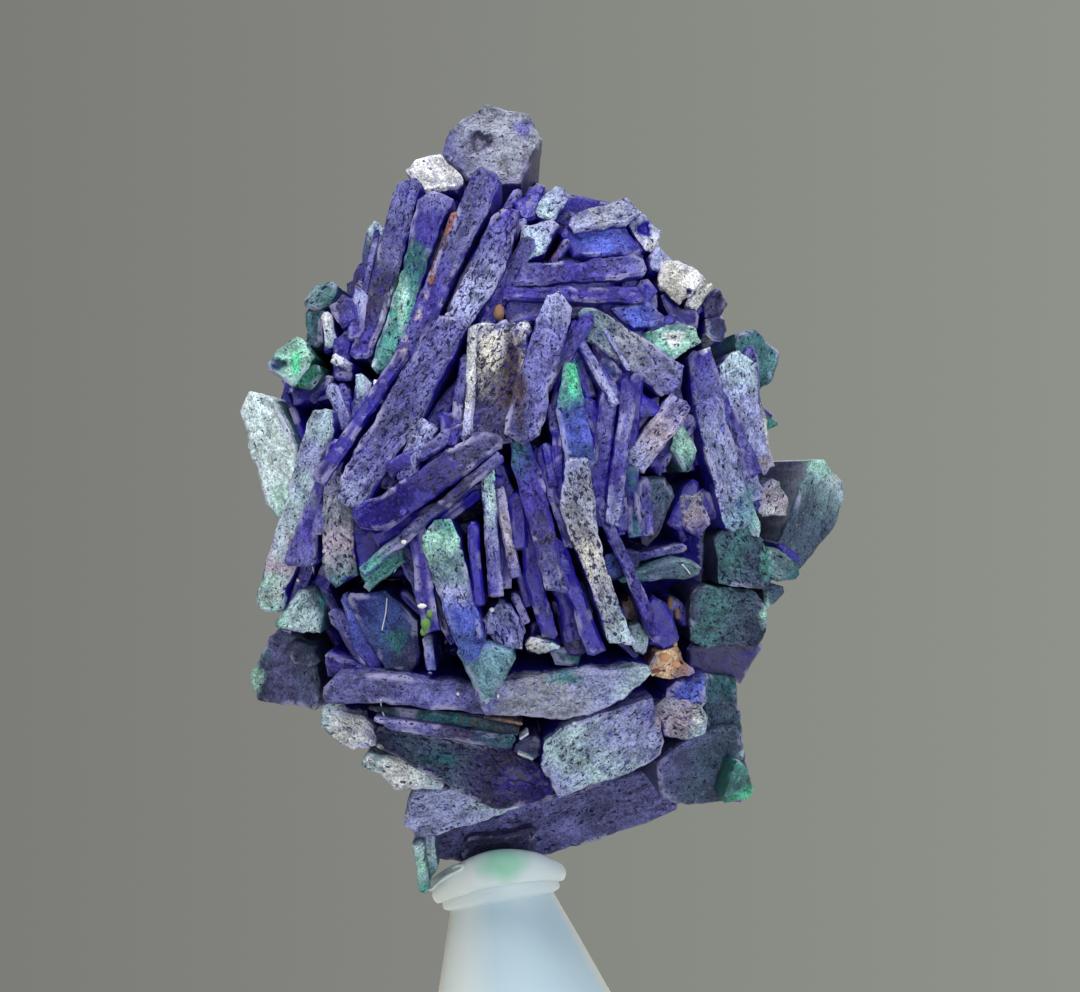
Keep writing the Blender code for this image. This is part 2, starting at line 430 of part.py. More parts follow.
def book_crystals():
    """Rings of every side and back crystal, spread evenly and always the same."""
    chance = random.Random(BOOK_SEED)
    golden = math.pi * (3 - math.sqrt(5))
    found = []
    total = BOOK_COUNT * 2
    for index in range(total):
        height = 1 - 2 * (index + 0.5) / total
        ring = math.sqrt(1 - height * height)
        spot = Vector((ring * math.cos(golden * index), ring * math.sin(golden * index), height))
        turn = chance.uniform(-1.0, 1.0)
        count = chance.choice(BOOK_BLADES)
        spread = [chance.random() for _ in range(6 * max(BOOK_BLADES))]
        if spot.y < BOOK_FRONT_LIMIT or spot.z < BOOK_FOOT_LIMIT:
            continue
        on_ball = Vector((spot.x * BOOK_REACH.x, spot.y * BOOK_REACH.y, spot.z * BOOK_REACH.z))
        normal = Vector((spot.x / BOOK_REACH.x, spot.y / BOOK_REACH.y,
                         spot.z / BOOK_REACH.z)).normalized()
        upright = (Vector((0, 0, 1)) - normal * normal.z).normalized()
        lean = turn * BOOK_LEAN if spot.z > LEDGE_LEVEL else turn * LEDGE_LEAN + LEDGE_TURN
        along = Matrix.Rotation(lean, 3, normal) @ upright
        across = normal.cross(along)
        place = 0.0
        for blade in range(count):
            draw = spread[6 * blade:6 * blade + 6]
            long = BOOK_LENGTH[0] + (BOOK_LENGTH[1] - BOOK_LENGTH[0]) * draw[0]
            wide = BOOK_WIDTH[0] + (BOOK_WIDTH[1] - BOOK_WIDTH[0]) * draw[1] ** 2
            lift = BOOK_LIFT[0] + (BOOK_LIFT[1] - BOOK_LIFT[0]) * draw[2]
            slide = (draw[3] - 0.5) * BOOK_SLIDE
            ends = (BOOK_TIPS[int(draw[4] * len(BOOK_TIPS))]
                    + BOOK_ROOTS[int(draw[5] * len(BOOK_ROOTS))])
            outline = strip_outline((long / 2 + slide, 0.0), (-long / 2 + slide, 0.0), wide, ends)
            centre = on_ball + across * (place + wide / 2 - count * BOOK_HALF) + normal * lift
            place += wide + BOOK_GAP
            for tuck in range(BOOK_TUCKS):
                middle = centre * (1 - BOOK_TUCK * tuck / centre.length)
                shorter = [(u * BOOK_SHORTEN ** tuck, v) for u, v in outline]
                rings = book_rings(middle, normal, along, shorter, BOOK_DEPTH)
                halfway = [(upper + lower) / 2 for upper, lower in zip(*rings)]
                if all(inside_silhouette(point) for ring in (*rings, halfway)
                       for point in with_middles(ring)):
                    found.append(rings)
                    break
    return found


def add_crystal(mesh, rings):
    """Add one closed crystal: its flat face, its sides and its root."""
    upper, lower = [[mesh.verts.new((BALL_CENTRE + point) * MM) for point in ring]
                    for ring in rings]
    mesh.faces.new(upper)
    mesh.faces.new(reversed(lower))
    for side in range(len(upper)):
        following = (side + 1) % len(upper)
        mesh.faces.new((upper[side], lower[side], lower[following], upper[following]))


def mesh_object(name, mesh):
    """Turn a bmesh into a linked object."""
    data = bpy.data.meshes.new(name)
    mesh.to_mesh(data)
    mesh.free()
    item = bpy.data.objects.new(name, data)
    bpy.context.scene.collection.objects.link(item)
    return item


def crystal_bodies():
    """One object that holds every crystal as its own closed body."""
    mesh = bmesh.new()
    for row in FRONT_CRYSTALS:
        outline = row.outline if isinstance(row, Facet) else strip_outline(
            row.tip, row.root, row.wide, row.ends)
        add_crystal(mesh, front_rings(outline, row.lift, row.depth))
    for rings in book_crystals():
        add_crystal(mesh, rings)
    bmesh.ops.recalc_face_normals(mesh, faces=mesh.faces)
    return mesh_object("crystals", mesh)


def core_body():
    """The lumpy middle that every crystal grows from."""
    chance = random.Random(BOOK_SEED)
    mesh = bmesh.new()
    bmesh.ops.create_icosphere(mesh, subdivisions=2, radius=1.0)
    for vert in mesh.verts:
        swell = 1 + chance.uniform(-CORE_SWELL, CORE_SWELL)
        point = Vector((vert.co.x * CORE_HALF.x, vert.co.y * CORE_HALF.y,
                        vert.co.z * CORE_HALF.z)) * swell
        vert.co = (BALL_CENTRE + point) * MM
    return mesh_object("azurite_cluster", mesh)


def holder_axis():
    """The turn that leans the holder, so that its foot goes to the right."""
    return Matrix.Rotation(-LEAN_RIGHT, 4, "Y")


def arc(radius, drop, roll, start, end, steps):
    """Points of a round lip or bead, as radius and height, between two angles in degrees."""
    points = []
    for step in range(steps + 1):
        angle = math.radians(start + (end - start) * step / steps)
        points.append((radius + roll * math.cos(angle), -drop + roll * math.sin(angle)))
    return points


def holder_profile(grow):
    """Half section of the holder, from the middle of its mouth out, grown by a clearance."""
    profile = [(0.0, -MOUTH_DEPTH + grow), (MOUTH_FLOOR - grow, -MOUTH_DEPTH + grow)]
    profile += [(MOUTH_WALL - grow, -MOUTH_DEPTH + FLOOR_ROUND + grow)]
    profile += arc(LIP_RADIUS, LIP_ROLL, LIP_ROLL + grow, *LIP_ARC)
    profile += arc(BEAD_RADIUS, BEAD_DROP, BEAD_ROLL + grow, *BEAD_ARC)
    profile += [(NECK_RADIUS + grow, -NECK_DROP)]
    profile += [(NECK_RADIUS + grow + CONE_SLOPE * (CONE_LENGTH - NECK_DROP), -CONE_LENGTH)]
    profile += [(0.0, -CONE_LENGTH)]
    return profile


def risen(x, y, height):
    """A point of the holder, moved up where the collar rises at the front."""
    front = max(0.0, -y / (LIP_RADIUS + LIP_ROLL)) ** COLLAR_EASE
    share = min(1.0, max(0.0, 1 + height / NECK_DROP))
    return x, y, height + COLLAR_RISE * front * share


def turned(name, profile):
    """Turn a half section about the holder's leaning axis into a closed solid."""
    mesh = bmesh.new()
    rings = []
    for radius, height in profile:
        if radius == 0.0:
            rings.append([mesh.verts.new((0.0, 0.0, height))])
            continue
        ring = []
        for side in range(HOLDER_SIDES):
            angle = 2 * math.pi * side / HOLDER_SIDES
            ring.append(mesh.verts.new(risen(radius * math.cos(angle), radius * math.sin(angle),
                                             height)))
        rings.append(ring)
    for upper, lower in zip(rings, rings[1:]):
        for side in range(HOLDER_SIDES):
            following = (side + 1) % HOLDER_SIDES
            if len(upper) == 1:
                mesh.faces.new((upper[0], lower[side], lower[following]))
            elif len(lower) == 1:
                mesh.faces.new((upper[side], lower[0], upper[following]))
            else:
                mesh.faces.new((upper[side], lower[side], lower[following], upper[following]))
    place = Matrix.Scale(MM, 4) @ Matrix.Translation(BALL_CENTRE + RIM_CENTRE) @ holder_axis()
    bmesh.ops.transform(mesh, matrix=place, verts=mesh.verts)
    bmesh.ops.recalc_face_normals(mesh, faces=mesh.faces)
    return mesh_object(name, mesh)


def combine(target, other, operation, own_overlaps):
    """Apply one Boolean to an object's mesh and remove the other object."""
    step = target.modifiers.new(operation.title(), "BOOLEAN")
    step.operation = operation
    step.solver = "EXACT"
    step.use_self = own_overlaps
    step.object = other
    graph = bpy.context.evaluated_depsgraph_get()
    result = bpy.data.meshes.new_from_object(target.evaluated_get(graph))
    target.modifiers.clear()
    target.data = result
    bpy.data.objects.remove(other, do_unlink=True)


def keep_largest_body(item):
    """Drop every loose shell but the largest, and pull near-equal corners together."""
    mesh = bmesh.new()
    mesh.from_mesh(item.data)
    left = set(mesh.verts)
    bodies = []
    while left:
        queue = [left.pop()]
        body = set(queue)
        while queue:
            for edge in queue.pop().link_edges:
                for vert in edge.verts:
                    if vert in left:
                        left.discard(vert)
                        body.add(vert)
                        queue.append(vert)
        bodies.append(body)
    bodies.sort(key=len)
    loose = [vert for body in bodies[:-1] for vert in body]
    bmesh.ops.delete(mesh, geom=loose, context="VERTS")
    bmesh.ops.dissolve_limit(mesh, angle_limit=FLAT_ANGLE, verts=mesh.verts, edges=mesh.edges)
    bmesh.ops.triangulate(mesh, faces=mesh.faces)
    mesh.to_mesh(item.data)
    mesh.free()


def cut_foot(item):
    """Cut the holder off level at its foot, at height zero."""
    mesh = bmesh.new()
    mesh.from_mesh(item.data)
    everything = mesh.verts[:] + mesh.edges[:] + mesh.faces[:]
    bmesh.ops.bisect_plane(mesh, geom=everything, plane_co=(0, 0, 0), plane_no=(0, 0, 1),
                           clear_inner=True)
    border = [edge for edge in mesh.edges if edge.is_boundary]
    bmesh.ops.holes_fill(mesh, edges=border)
    bmesh.ops.triangulate(mesh, faces=mesh.faces)
    bmesh.ops.recalc_face_normals(mesh, faces=mesh.faces)
    mesh.to_mesh(item.data)
    mesh.free()


def finish(item, name, look):
    """Give an object its one material."""
    colour, roughness, see_through = look
    material = bpy.data.materials.new(name)
    material.use_nodes = True
    shader = material.node_tree.nodes["Principled BSDF"]
    shader.inputs["Base Color"].default_value = (*colour, 1.0)
    shader.inputs["Metallic"].default_value = 0.0
    shader.inputs["Roughness"].default_value = roughness
    shader.inputs["Subsurface Weight"].default_value = see_through
    item.data.materials.clear()
    item.data.materials.append(material)


def build():
    """Model the specimen and its holder."""
    for item in list(bpy.data.objects):
        bpy.data.objects.remove(item, do_unlink=True)
    cluster = core_body()
    combine(cluster, crystal_bodies(), "UNION", True)
    combine(cluster, turned("clearance", holder_profile(GAP)), "DIFFERENCE", False)
    keep_largest_body(cluster)
    finish(cluster, "azurite", AZURITE)
    holder = turned("holder", holder_profile(0.0))
    cut_foot(holder)
    holder.data.shade_smooth()
    holder.data.set_sharp_from_angle(angle=SOFT_ANGLE)
    finish(holder, "milky_plastic", MILKY_PLASTIC)


build()
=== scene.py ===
import logging
import math
import random
from dataclasses import dataclass, field
from enum import Enum
from typing import NamedTuple

import bmesh
import bpy
import numpy as np
from mathutils import Matrix, Vector, geometry, noise
from mathutils.bvhtree import BVHTree


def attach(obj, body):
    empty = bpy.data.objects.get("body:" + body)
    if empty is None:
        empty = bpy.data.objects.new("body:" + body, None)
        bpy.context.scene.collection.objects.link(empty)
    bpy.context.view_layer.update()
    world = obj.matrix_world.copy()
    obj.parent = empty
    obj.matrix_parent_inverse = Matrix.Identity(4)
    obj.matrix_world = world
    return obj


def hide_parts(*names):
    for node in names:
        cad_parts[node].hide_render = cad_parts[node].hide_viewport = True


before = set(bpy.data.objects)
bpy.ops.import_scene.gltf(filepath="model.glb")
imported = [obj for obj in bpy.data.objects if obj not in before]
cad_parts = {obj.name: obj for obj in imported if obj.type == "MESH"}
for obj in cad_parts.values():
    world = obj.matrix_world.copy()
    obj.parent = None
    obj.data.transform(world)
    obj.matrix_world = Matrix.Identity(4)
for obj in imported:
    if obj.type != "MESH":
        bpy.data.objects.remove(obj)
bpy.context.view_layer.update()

MM = 0.001
LOG = logging.getLogger("azurite")


class Tone(Enum):
    """Colours of the crystals, as sRGB hex, named for what they look like."""

    WHITE = "#d6d9e0"
    CREAM = "#bcbab4"
    SAND = "#d8b89a"
    FROST = "#bccfd6"
    ICE = "#a6bfcc"
    ASH = "#8c91a4"
    MIST = "#6f96aa"
    LILAC = "#9097c4"
    LAVENDER = "#6768a6"
    VIOLET = "#413a94"
    DUSK = "#3e3c60"
    PLUM = "#57598a"
    PERI = "#5564c6"
    NAVY = "#170e66"
    ULTRA = "#1b0c9c"
    STEEL = "#3d5090"
    SLATE = "#45566e"
    SHADOW = "#283048"
    SEA = "#4a767e"
    SAGE = "#688490"
    TEAL = "#31606c"
    GLOW = "#5cd0a0"
    AQUA = "#559692"
    MINT = "#98c6bc"
    FOREST = "#205c50"
    TAN = "#957c6c"
    SALMON = "#8c5850"
    BROWN = "#463c48"
    PINK = "#a59bae"


def linear(colour: str) -> tuple[float, float, float]:
    """Turn an sRGB hex colour into linear red, green and blue.

    Args:
        colour: The colour as "#rrggbb".

    Returns:
        Three linear values between 0 and 1.
    """
    values = []
    for start in (1, 3, 5):
        part = int(colour[start:start + 2], 16) / 255
        values.append(part / 12.92 if part <= 0.04045 else ((part + 0.055) / 1.055) ** 2.4)
    return tuple(values)


@dataclass(frozen=True)
class Look:
    """What covers one crystal: its tones from top to bottom, dust, pits and clean side colour."""

    tones: tuple[Tone, ...]
    dust: float = 0.8
    pits: float = 0.5
    side: Tone = Tone.ULTRA


class Facet(NamedTuple):
    """A crystal read by its outline in millimetres, with how far it stands out and its depth."""

    name: str
    outline: tuple[tuple[float, float], ...]
    lift: float
    look: Look
    depth: float = 5.2


class Strip(NamedTuple):
    """A crystal read by its two ends and width; ends names the form of each end."""

    name: str
    tip: tuple[float, float]
    root: tuple[float, float]
    wide: float
    lift: float
    look: Look
    ends: str = "nn"
    depth: float = 5.2


T = Tone
UPPER_LEFT = (
    Facet("summit_end", ((-2.9, 15.9), (-2.5, 17.0), (-0.8, 18.25), (1.4, 17.6), (2.1, 16.5),
          (1.0, 14.5), (-1.6, 14.6)), -1.2, Look((T.ASH, T.ASH, T.PLUM), 0.98, 0.3, T.DUSK), 6.0),
    Facet("white_end", ((-4.75, 15.15), (-4.2, 15.6), (-2.95, 15.8), (-1.65, 14.5), (-2.2, 14.0),
          (-4.0, 13.9)), 0.1, Look((T.WHITE, T.WHITE), 1.0, 0.15, T.VIOLET)),
    Strip("tall_blade_a", (-4.4, 14.6), (-7.1, 5.5), 1.3, 0.2,
          Look((T.LAVENDER, T.PLUM, T.DUSK, T.VIOLET), 0.78, 0.7), "nn"),
    Facet("tall_blade_b", ((-4.1, 13.7), (-3.3, 14.1), (-2.4, 13.6), (-3.6, 10.5), (-5.2, 5.4),
          (-6.1, 4.6), (-6.5, 5.1), (-5.0, 10.0)), 0.6,
          Look((T.LAVENDER, T.VIOLET, T.TEAL, T.AQUA, T.AQUA, T.SEA), 0.92, 0.5)),
    Strip("tall_blade_c", (-0.5, 15.0), (-5.2, 4.8), 1.35, 0.4,
          Look((T.LAVENDER, T.PLUM, T.VIOLET, T.LAVENDER), 0.72, 0.7), "nn"),
    Facet("tall_blade_d", ((-0.4, 12.6), (0.4, 13.3), (0.9, 12.9), (0.6, 11.0), (-0.1, 9.2),
          (-1.6, 7.2), (-2.9, 7.6), (-1.7, 10.0)), 1.1,
          Look((T.VIOLET, T.LAVENDER, T.LILAC, T.LILAC), 0.9, 1.0)),
    Facet("great_diagonal", ((-3.0, 7.8), (-1.4, 7.6), (-4.0, 2.6), (-7.0, -2.0), (-8.2, -1.7),
          (-7.8, 0.2), (-4.2, 6.0)), 1.3,
          Look((T.LAVENDER, T.LAVENDER, T.PLUM, T.LAVENDER, T.LILAC), 0.84, 1.0), 5.6),
    Strip("knob_blade", (-6.2, 12.6), (-6.5, 9.4), 0.95, -0.4,
          Look((T.ICE, T.SLATE, T.VIOLET), 0.8, 0.4), "pn"),
    Facet("grey_green_end", ((-10.0, 8.3), (-9.3, 9.3), (-8.5, 9.5), (-8.0, 9.1), (-8.6, 8.2),
          (-9.3, 7.9)), 0.0, Look((T.SEA, T.SAGE), 0.95, 0.5, T.TEAL)),
    Facet("violet_end", ((-8.6, 8.2), (-8.0, 8.8), (-7.4, 8.6), (-7.1, 7.6), (-7.9, 7.2)), 0.5,
          Look((T.DUSK, T.VIOLET), 0.7, 0.5)),
    Strip("side_shard_a", (-9.2, 8.2), (-9.4, 6.0), 1.0, -0.4,
          Look((T.TEAL, T.SLATE), 0.8, 0.4, T.SLATE)),
    Strip("side_shard_b", (-8.7, 8.0), (-8.5, 6.1), 0.6, 0.4, Look((T.WHITE, T.ICE), 0.9, 0.2), "pn"),
    Strip("side_shard_c", (-6.9, 9.4), (-7.3, 6.4), 0.8, 0.2, Look((T.LILAC, T.VIOLET), 0.75, 0.5),
          "an"),
    Strip("side_shard_d", (-7.9, 7.2), (-7.9, 4.6), 0.9, 0.0,
          Look((T.VIOLET, T.NAVY, T.LILAC), 0.6, 0.5), "bn"),
    Facet("green_end", ((-11.8, 5.0), (-11.2, 6.0), (-10.0, 6.85), (-9.35, 5.6), (-9.8, 4.9),
          (-10.4, 4.2)), 0.5, Look((T.MINT, T.MINT, T.AQUA), 1.0, 0.2, T.FOREST)),
    Facet("green_side", ((-9.8, 5.1), (-9.2, 5.6), (-8.9, 4.7), (-9.5, 4.0), (-10.4, 4.2)), 0.0,
          Look((T.FOREST, T.FOREST), 0.9, 0.4, T.FOREST)),
    Strip("fan_shard_a", (-8.6, 4.4), (-7.6, 2.0), 0.7, 0.1, Look((T.LILAC, T.LAVENDER), 0.8, 0.5),
          "pn"),
    Strip("fan_shard_b", (-6.8, 5.0), (-7.1, 2.4), 0.8, 0.2, Look((T.ICE, T.VIOLET), 0.8, 0.5), "an"),
)

LEFT_SIDE = (
    Facet("pale_blade", ((-12.6, 3.9), (-11.4, 3.6), (-10.2, 1.0), (-10.1, -2.2), (-11.0, -2.6),
          (-11.7, -1.8), (-12.4, 0.6), (-13.05, 3.0)), 0.3,
          Look((T.FROST, T.FROST, T.FROST, T.MINT), 1.0, 0.2, T.SEA)),
    Facet("long_grey_blade", ((-9.2, 3.0), (-8.3, 3.2), (-8.2, 2.0), (-11.0, -6.5), (-11.3, -7.4),
          (-12.3, -7.0), (-12.4, -6.5)), 0.9, Look((T.ICE, T.LILAC, T.ICE, T.PINK, T.MINT), 0.95, 0.5)),
    Facet("flat_end_blade", ((-9.3, 0.0), (-8.8, 0.0), (-9.1, -4.5), (-9.4, -4.85), (-10.9, -4.8)),
          0.9, Look((T.LILAC, T.VIOLET, T.LAVENDER), 0.85, 0.5)),
    Strip("violet_blade", (-8.1, 1.6), (-9.0, -3.3), 0.9, 1.3,
          Look((T.VIOLET, T.VIOLET, T.LAVENDER), 0.8, 0.5), "pn"),
    Facet("cream_blade", ((-8.8, 0.2), (-7.9, 0.0), (-7.4, -2.2), (-7.3, -5.3), (-8.3, -5.9),
          (-8.9, -5.4)), 1.2, Look((T.LILAC, T.ASH, T.PINK, T.SEA), 0.95, 0.8)),
    Facet("left_lump", ((-10.6, -6.6), (-9.9, -5.8), (-9.3, -5.7), (-8.7, -6.9), (-8.9, -8.1),
          (-11.4, -8.0), (-11.2, -7.5)), 0.7, Look((T.SLATE, T.ICE, T.MINT), 0.9, 0.4, T.TEAL), 3.4),
    Facet("dark_block", ((-11.5, -8.1), (-12.1, -9.0), (-12.7, -10.5), (-12.2, -11.55), (-9.0, -11.95),
          (-8.7, -11.0), (-9.2, -9.1), (-10.0, -8.2)), -0.2,
          Look((T.SLATE, T.PLUM, T.SHADOW), 0.95, 0.35, T.SHADOW)),
    Facet("dark_knob", ((-10.5, -8.7), (-9.4, -8.8), (-9.0, -9.5), (-9.7, -10.1), (-10.7, -9.6)), 0.2,
          Look((T.SLATE, T.DUSK), 0.95, 0.3, T.SHADOW), 2.5),
    Facet("steel_blade", ((-9.3, -5.3), (-8.8, -5.6), (-7.1, -9.0), (-6.5, -10.0), (-7.3, -9.5),
          (-9.2, -5.9)), 0.0, Look((T.STEEL, T.NAVY, T.STEEL), 0.5, 0.3, T.NAVY)),
    Facet("violet_edge_blade", ((-8.0, -6.2), (-7.6, -6.1), (-5.8, -9.9), (-6.6, -10.1), (-7.4, -9.0)),
          0.2, Look((T.PERI, T.PERI, T.VIOLET), 0.7, 0.2)),
    Facet("flat_blue_face", ((-7.8, -6.2), (-5.7, -6.0), (-4.1, -7.6), (-4.2, -10.1), (-5.8, -10.1)),
          0.3, Look((T.NAVY, T.STEEL, T.SHADOW), 0.75, 0.15, T.NAVY)),
    Facet("left_blue_face", ((-7.6, -1.8), (-4.9, -2.3), (-4.8, -3.3), (-6.0, -4.6), (-7.1, -5.1)),
          0.5, Look((T.ULTRA, T.NAVY, T.STEEL), 0.55, 0.2)),
    Facet("green_box", ((-7.1, -5.1), (-4.8, -3.6), (-4.6, -4.6), (-5.9, -5.5), (-6.5, -6.1),
          (-6.9, -5.9)), 0.9, Look((T.SEA, T.AQUA, T.SEA), 0.85, 0.4, T.TEAL)),
)

CROSSING = (
    Facet("crossing_blade", ((-7.7, -2.1), (-5.9, -1.2), (-1.0, 1.95), (0.1, 1.9), (0.1, 1.1),
          (-5.7, -3.1), (-7.0, -2.9)), 2.0, Look((T.PLUM, T.DUSK, T.NAVY, T.NAVY), 0.66, 0.5), 4.6),
    Strip("crossing_rim", (0.1, 0.75), (-7.0, -5.2), 0.6, 1.7,
          Look((T.LAVENDER, T.DUSK, T.PLUM, T.AQUA), 0.8, 0.5), "nn", 4.0),
    Strip("small_pitted", (-3.6, 2.5), (-4.9, -0.6), 1.1, 0.9, Look((T.LILAC, T.LAVENDER), 0.85, 1.0)),
    Facet("blue_patch", ((-3.2, 3.0), (-1.9, 2.8), (-1.7, 1.2), (-3.0, 1.0)), 0.4,
          Look((T.ULTRA, T.ULTRA), 0.3, 0.3)),
    Facet("column", ((-1.6, 7.2), (-1.0, 7.4), (1.4, 7.4), (1.6, 7.0), (0.6, 1.2), (-1.9, 1.2)), 0.9,
          Look((T.LILAC, T.CREAM, T.DUSK, T.PLUM), 0.85, 1.0)),
    Facet("slanted_blade", ((2.3, 8.7), (2.9, 9.0), (3.7, 8.2), (3.6, 7.7), (2.0, 1.8), (1.1, 1.2),
          (0.2, 1.8), (0.2, 2.6)), 1.5, Look((T.LILAC, T.LAVENDER, T.LAVENDER, T.PLUM), 0.88, 0.7)),
    Strip("upper_ledge", (7.4, 10.3), (0.3, 9.7), 1.15, 0.6,
          Look((T.LAVENDER, T.VIOLET, T.LAVENDER), 0.8, 0.6), "na"),
    Strip("lower_ledge", (7.3, 8.8), (0.1, 8.85), 0.75, 0.4,
          Look((T.VIOLET, T.VIOLET, T.VIOLET), 0.7, 0.5)),
    Facet("navy_corner", ((0.1, 8.6), (2.6, 8.6), (2.1, 7.3), (0.3, 7.3)), -0.2,
          Look((T.NAVY, T.NAVY), 0.3, 0.2)),
    Facet("blue_corner", ((7.2, 9.8), (7.9, 9.0), (7.4, 8.1), (6.3, 8.2)), 0.4,
          Look((T.ULTRA, T.ULTRA), 0.4, 0.2)),
    Facet("lavender_wedge", ((5.3, 8.2), (7.6, 8.5), (8.5, 7.3), (6.6, 7.0)), 0.5,
          Look((T.LAVENDER, T.PERI, T.LAVENDER), 0.8, 0.5)),
    Facet("whitish_block", ((1.1, 12.3), (2.7, 12.5), (3.0, 12.2), (2.3, 10.9), (1.0, 10.4)), 0.4,
          Look((T.LILAC, T.ICE), 0.9, 0.6)),
    Facet("upper_tip", ((1.6, 12.8), (2.2, 13.7), (2.7, 14.3), (3.3, 14.1), (3.5, 13.5), (2.6, 12.4)),
          -0.3, Look((T.LILAC, T.ICE), 0.9, 0.5)),
    Facet("navy_side", ((0.6, 13.4), (2.2, 14.2), (1.9, 12.6), (1.0, 12.3)), -0.8,
          Look((T.NAVY, T.VIOLET), 0.5, 0.3)),
)

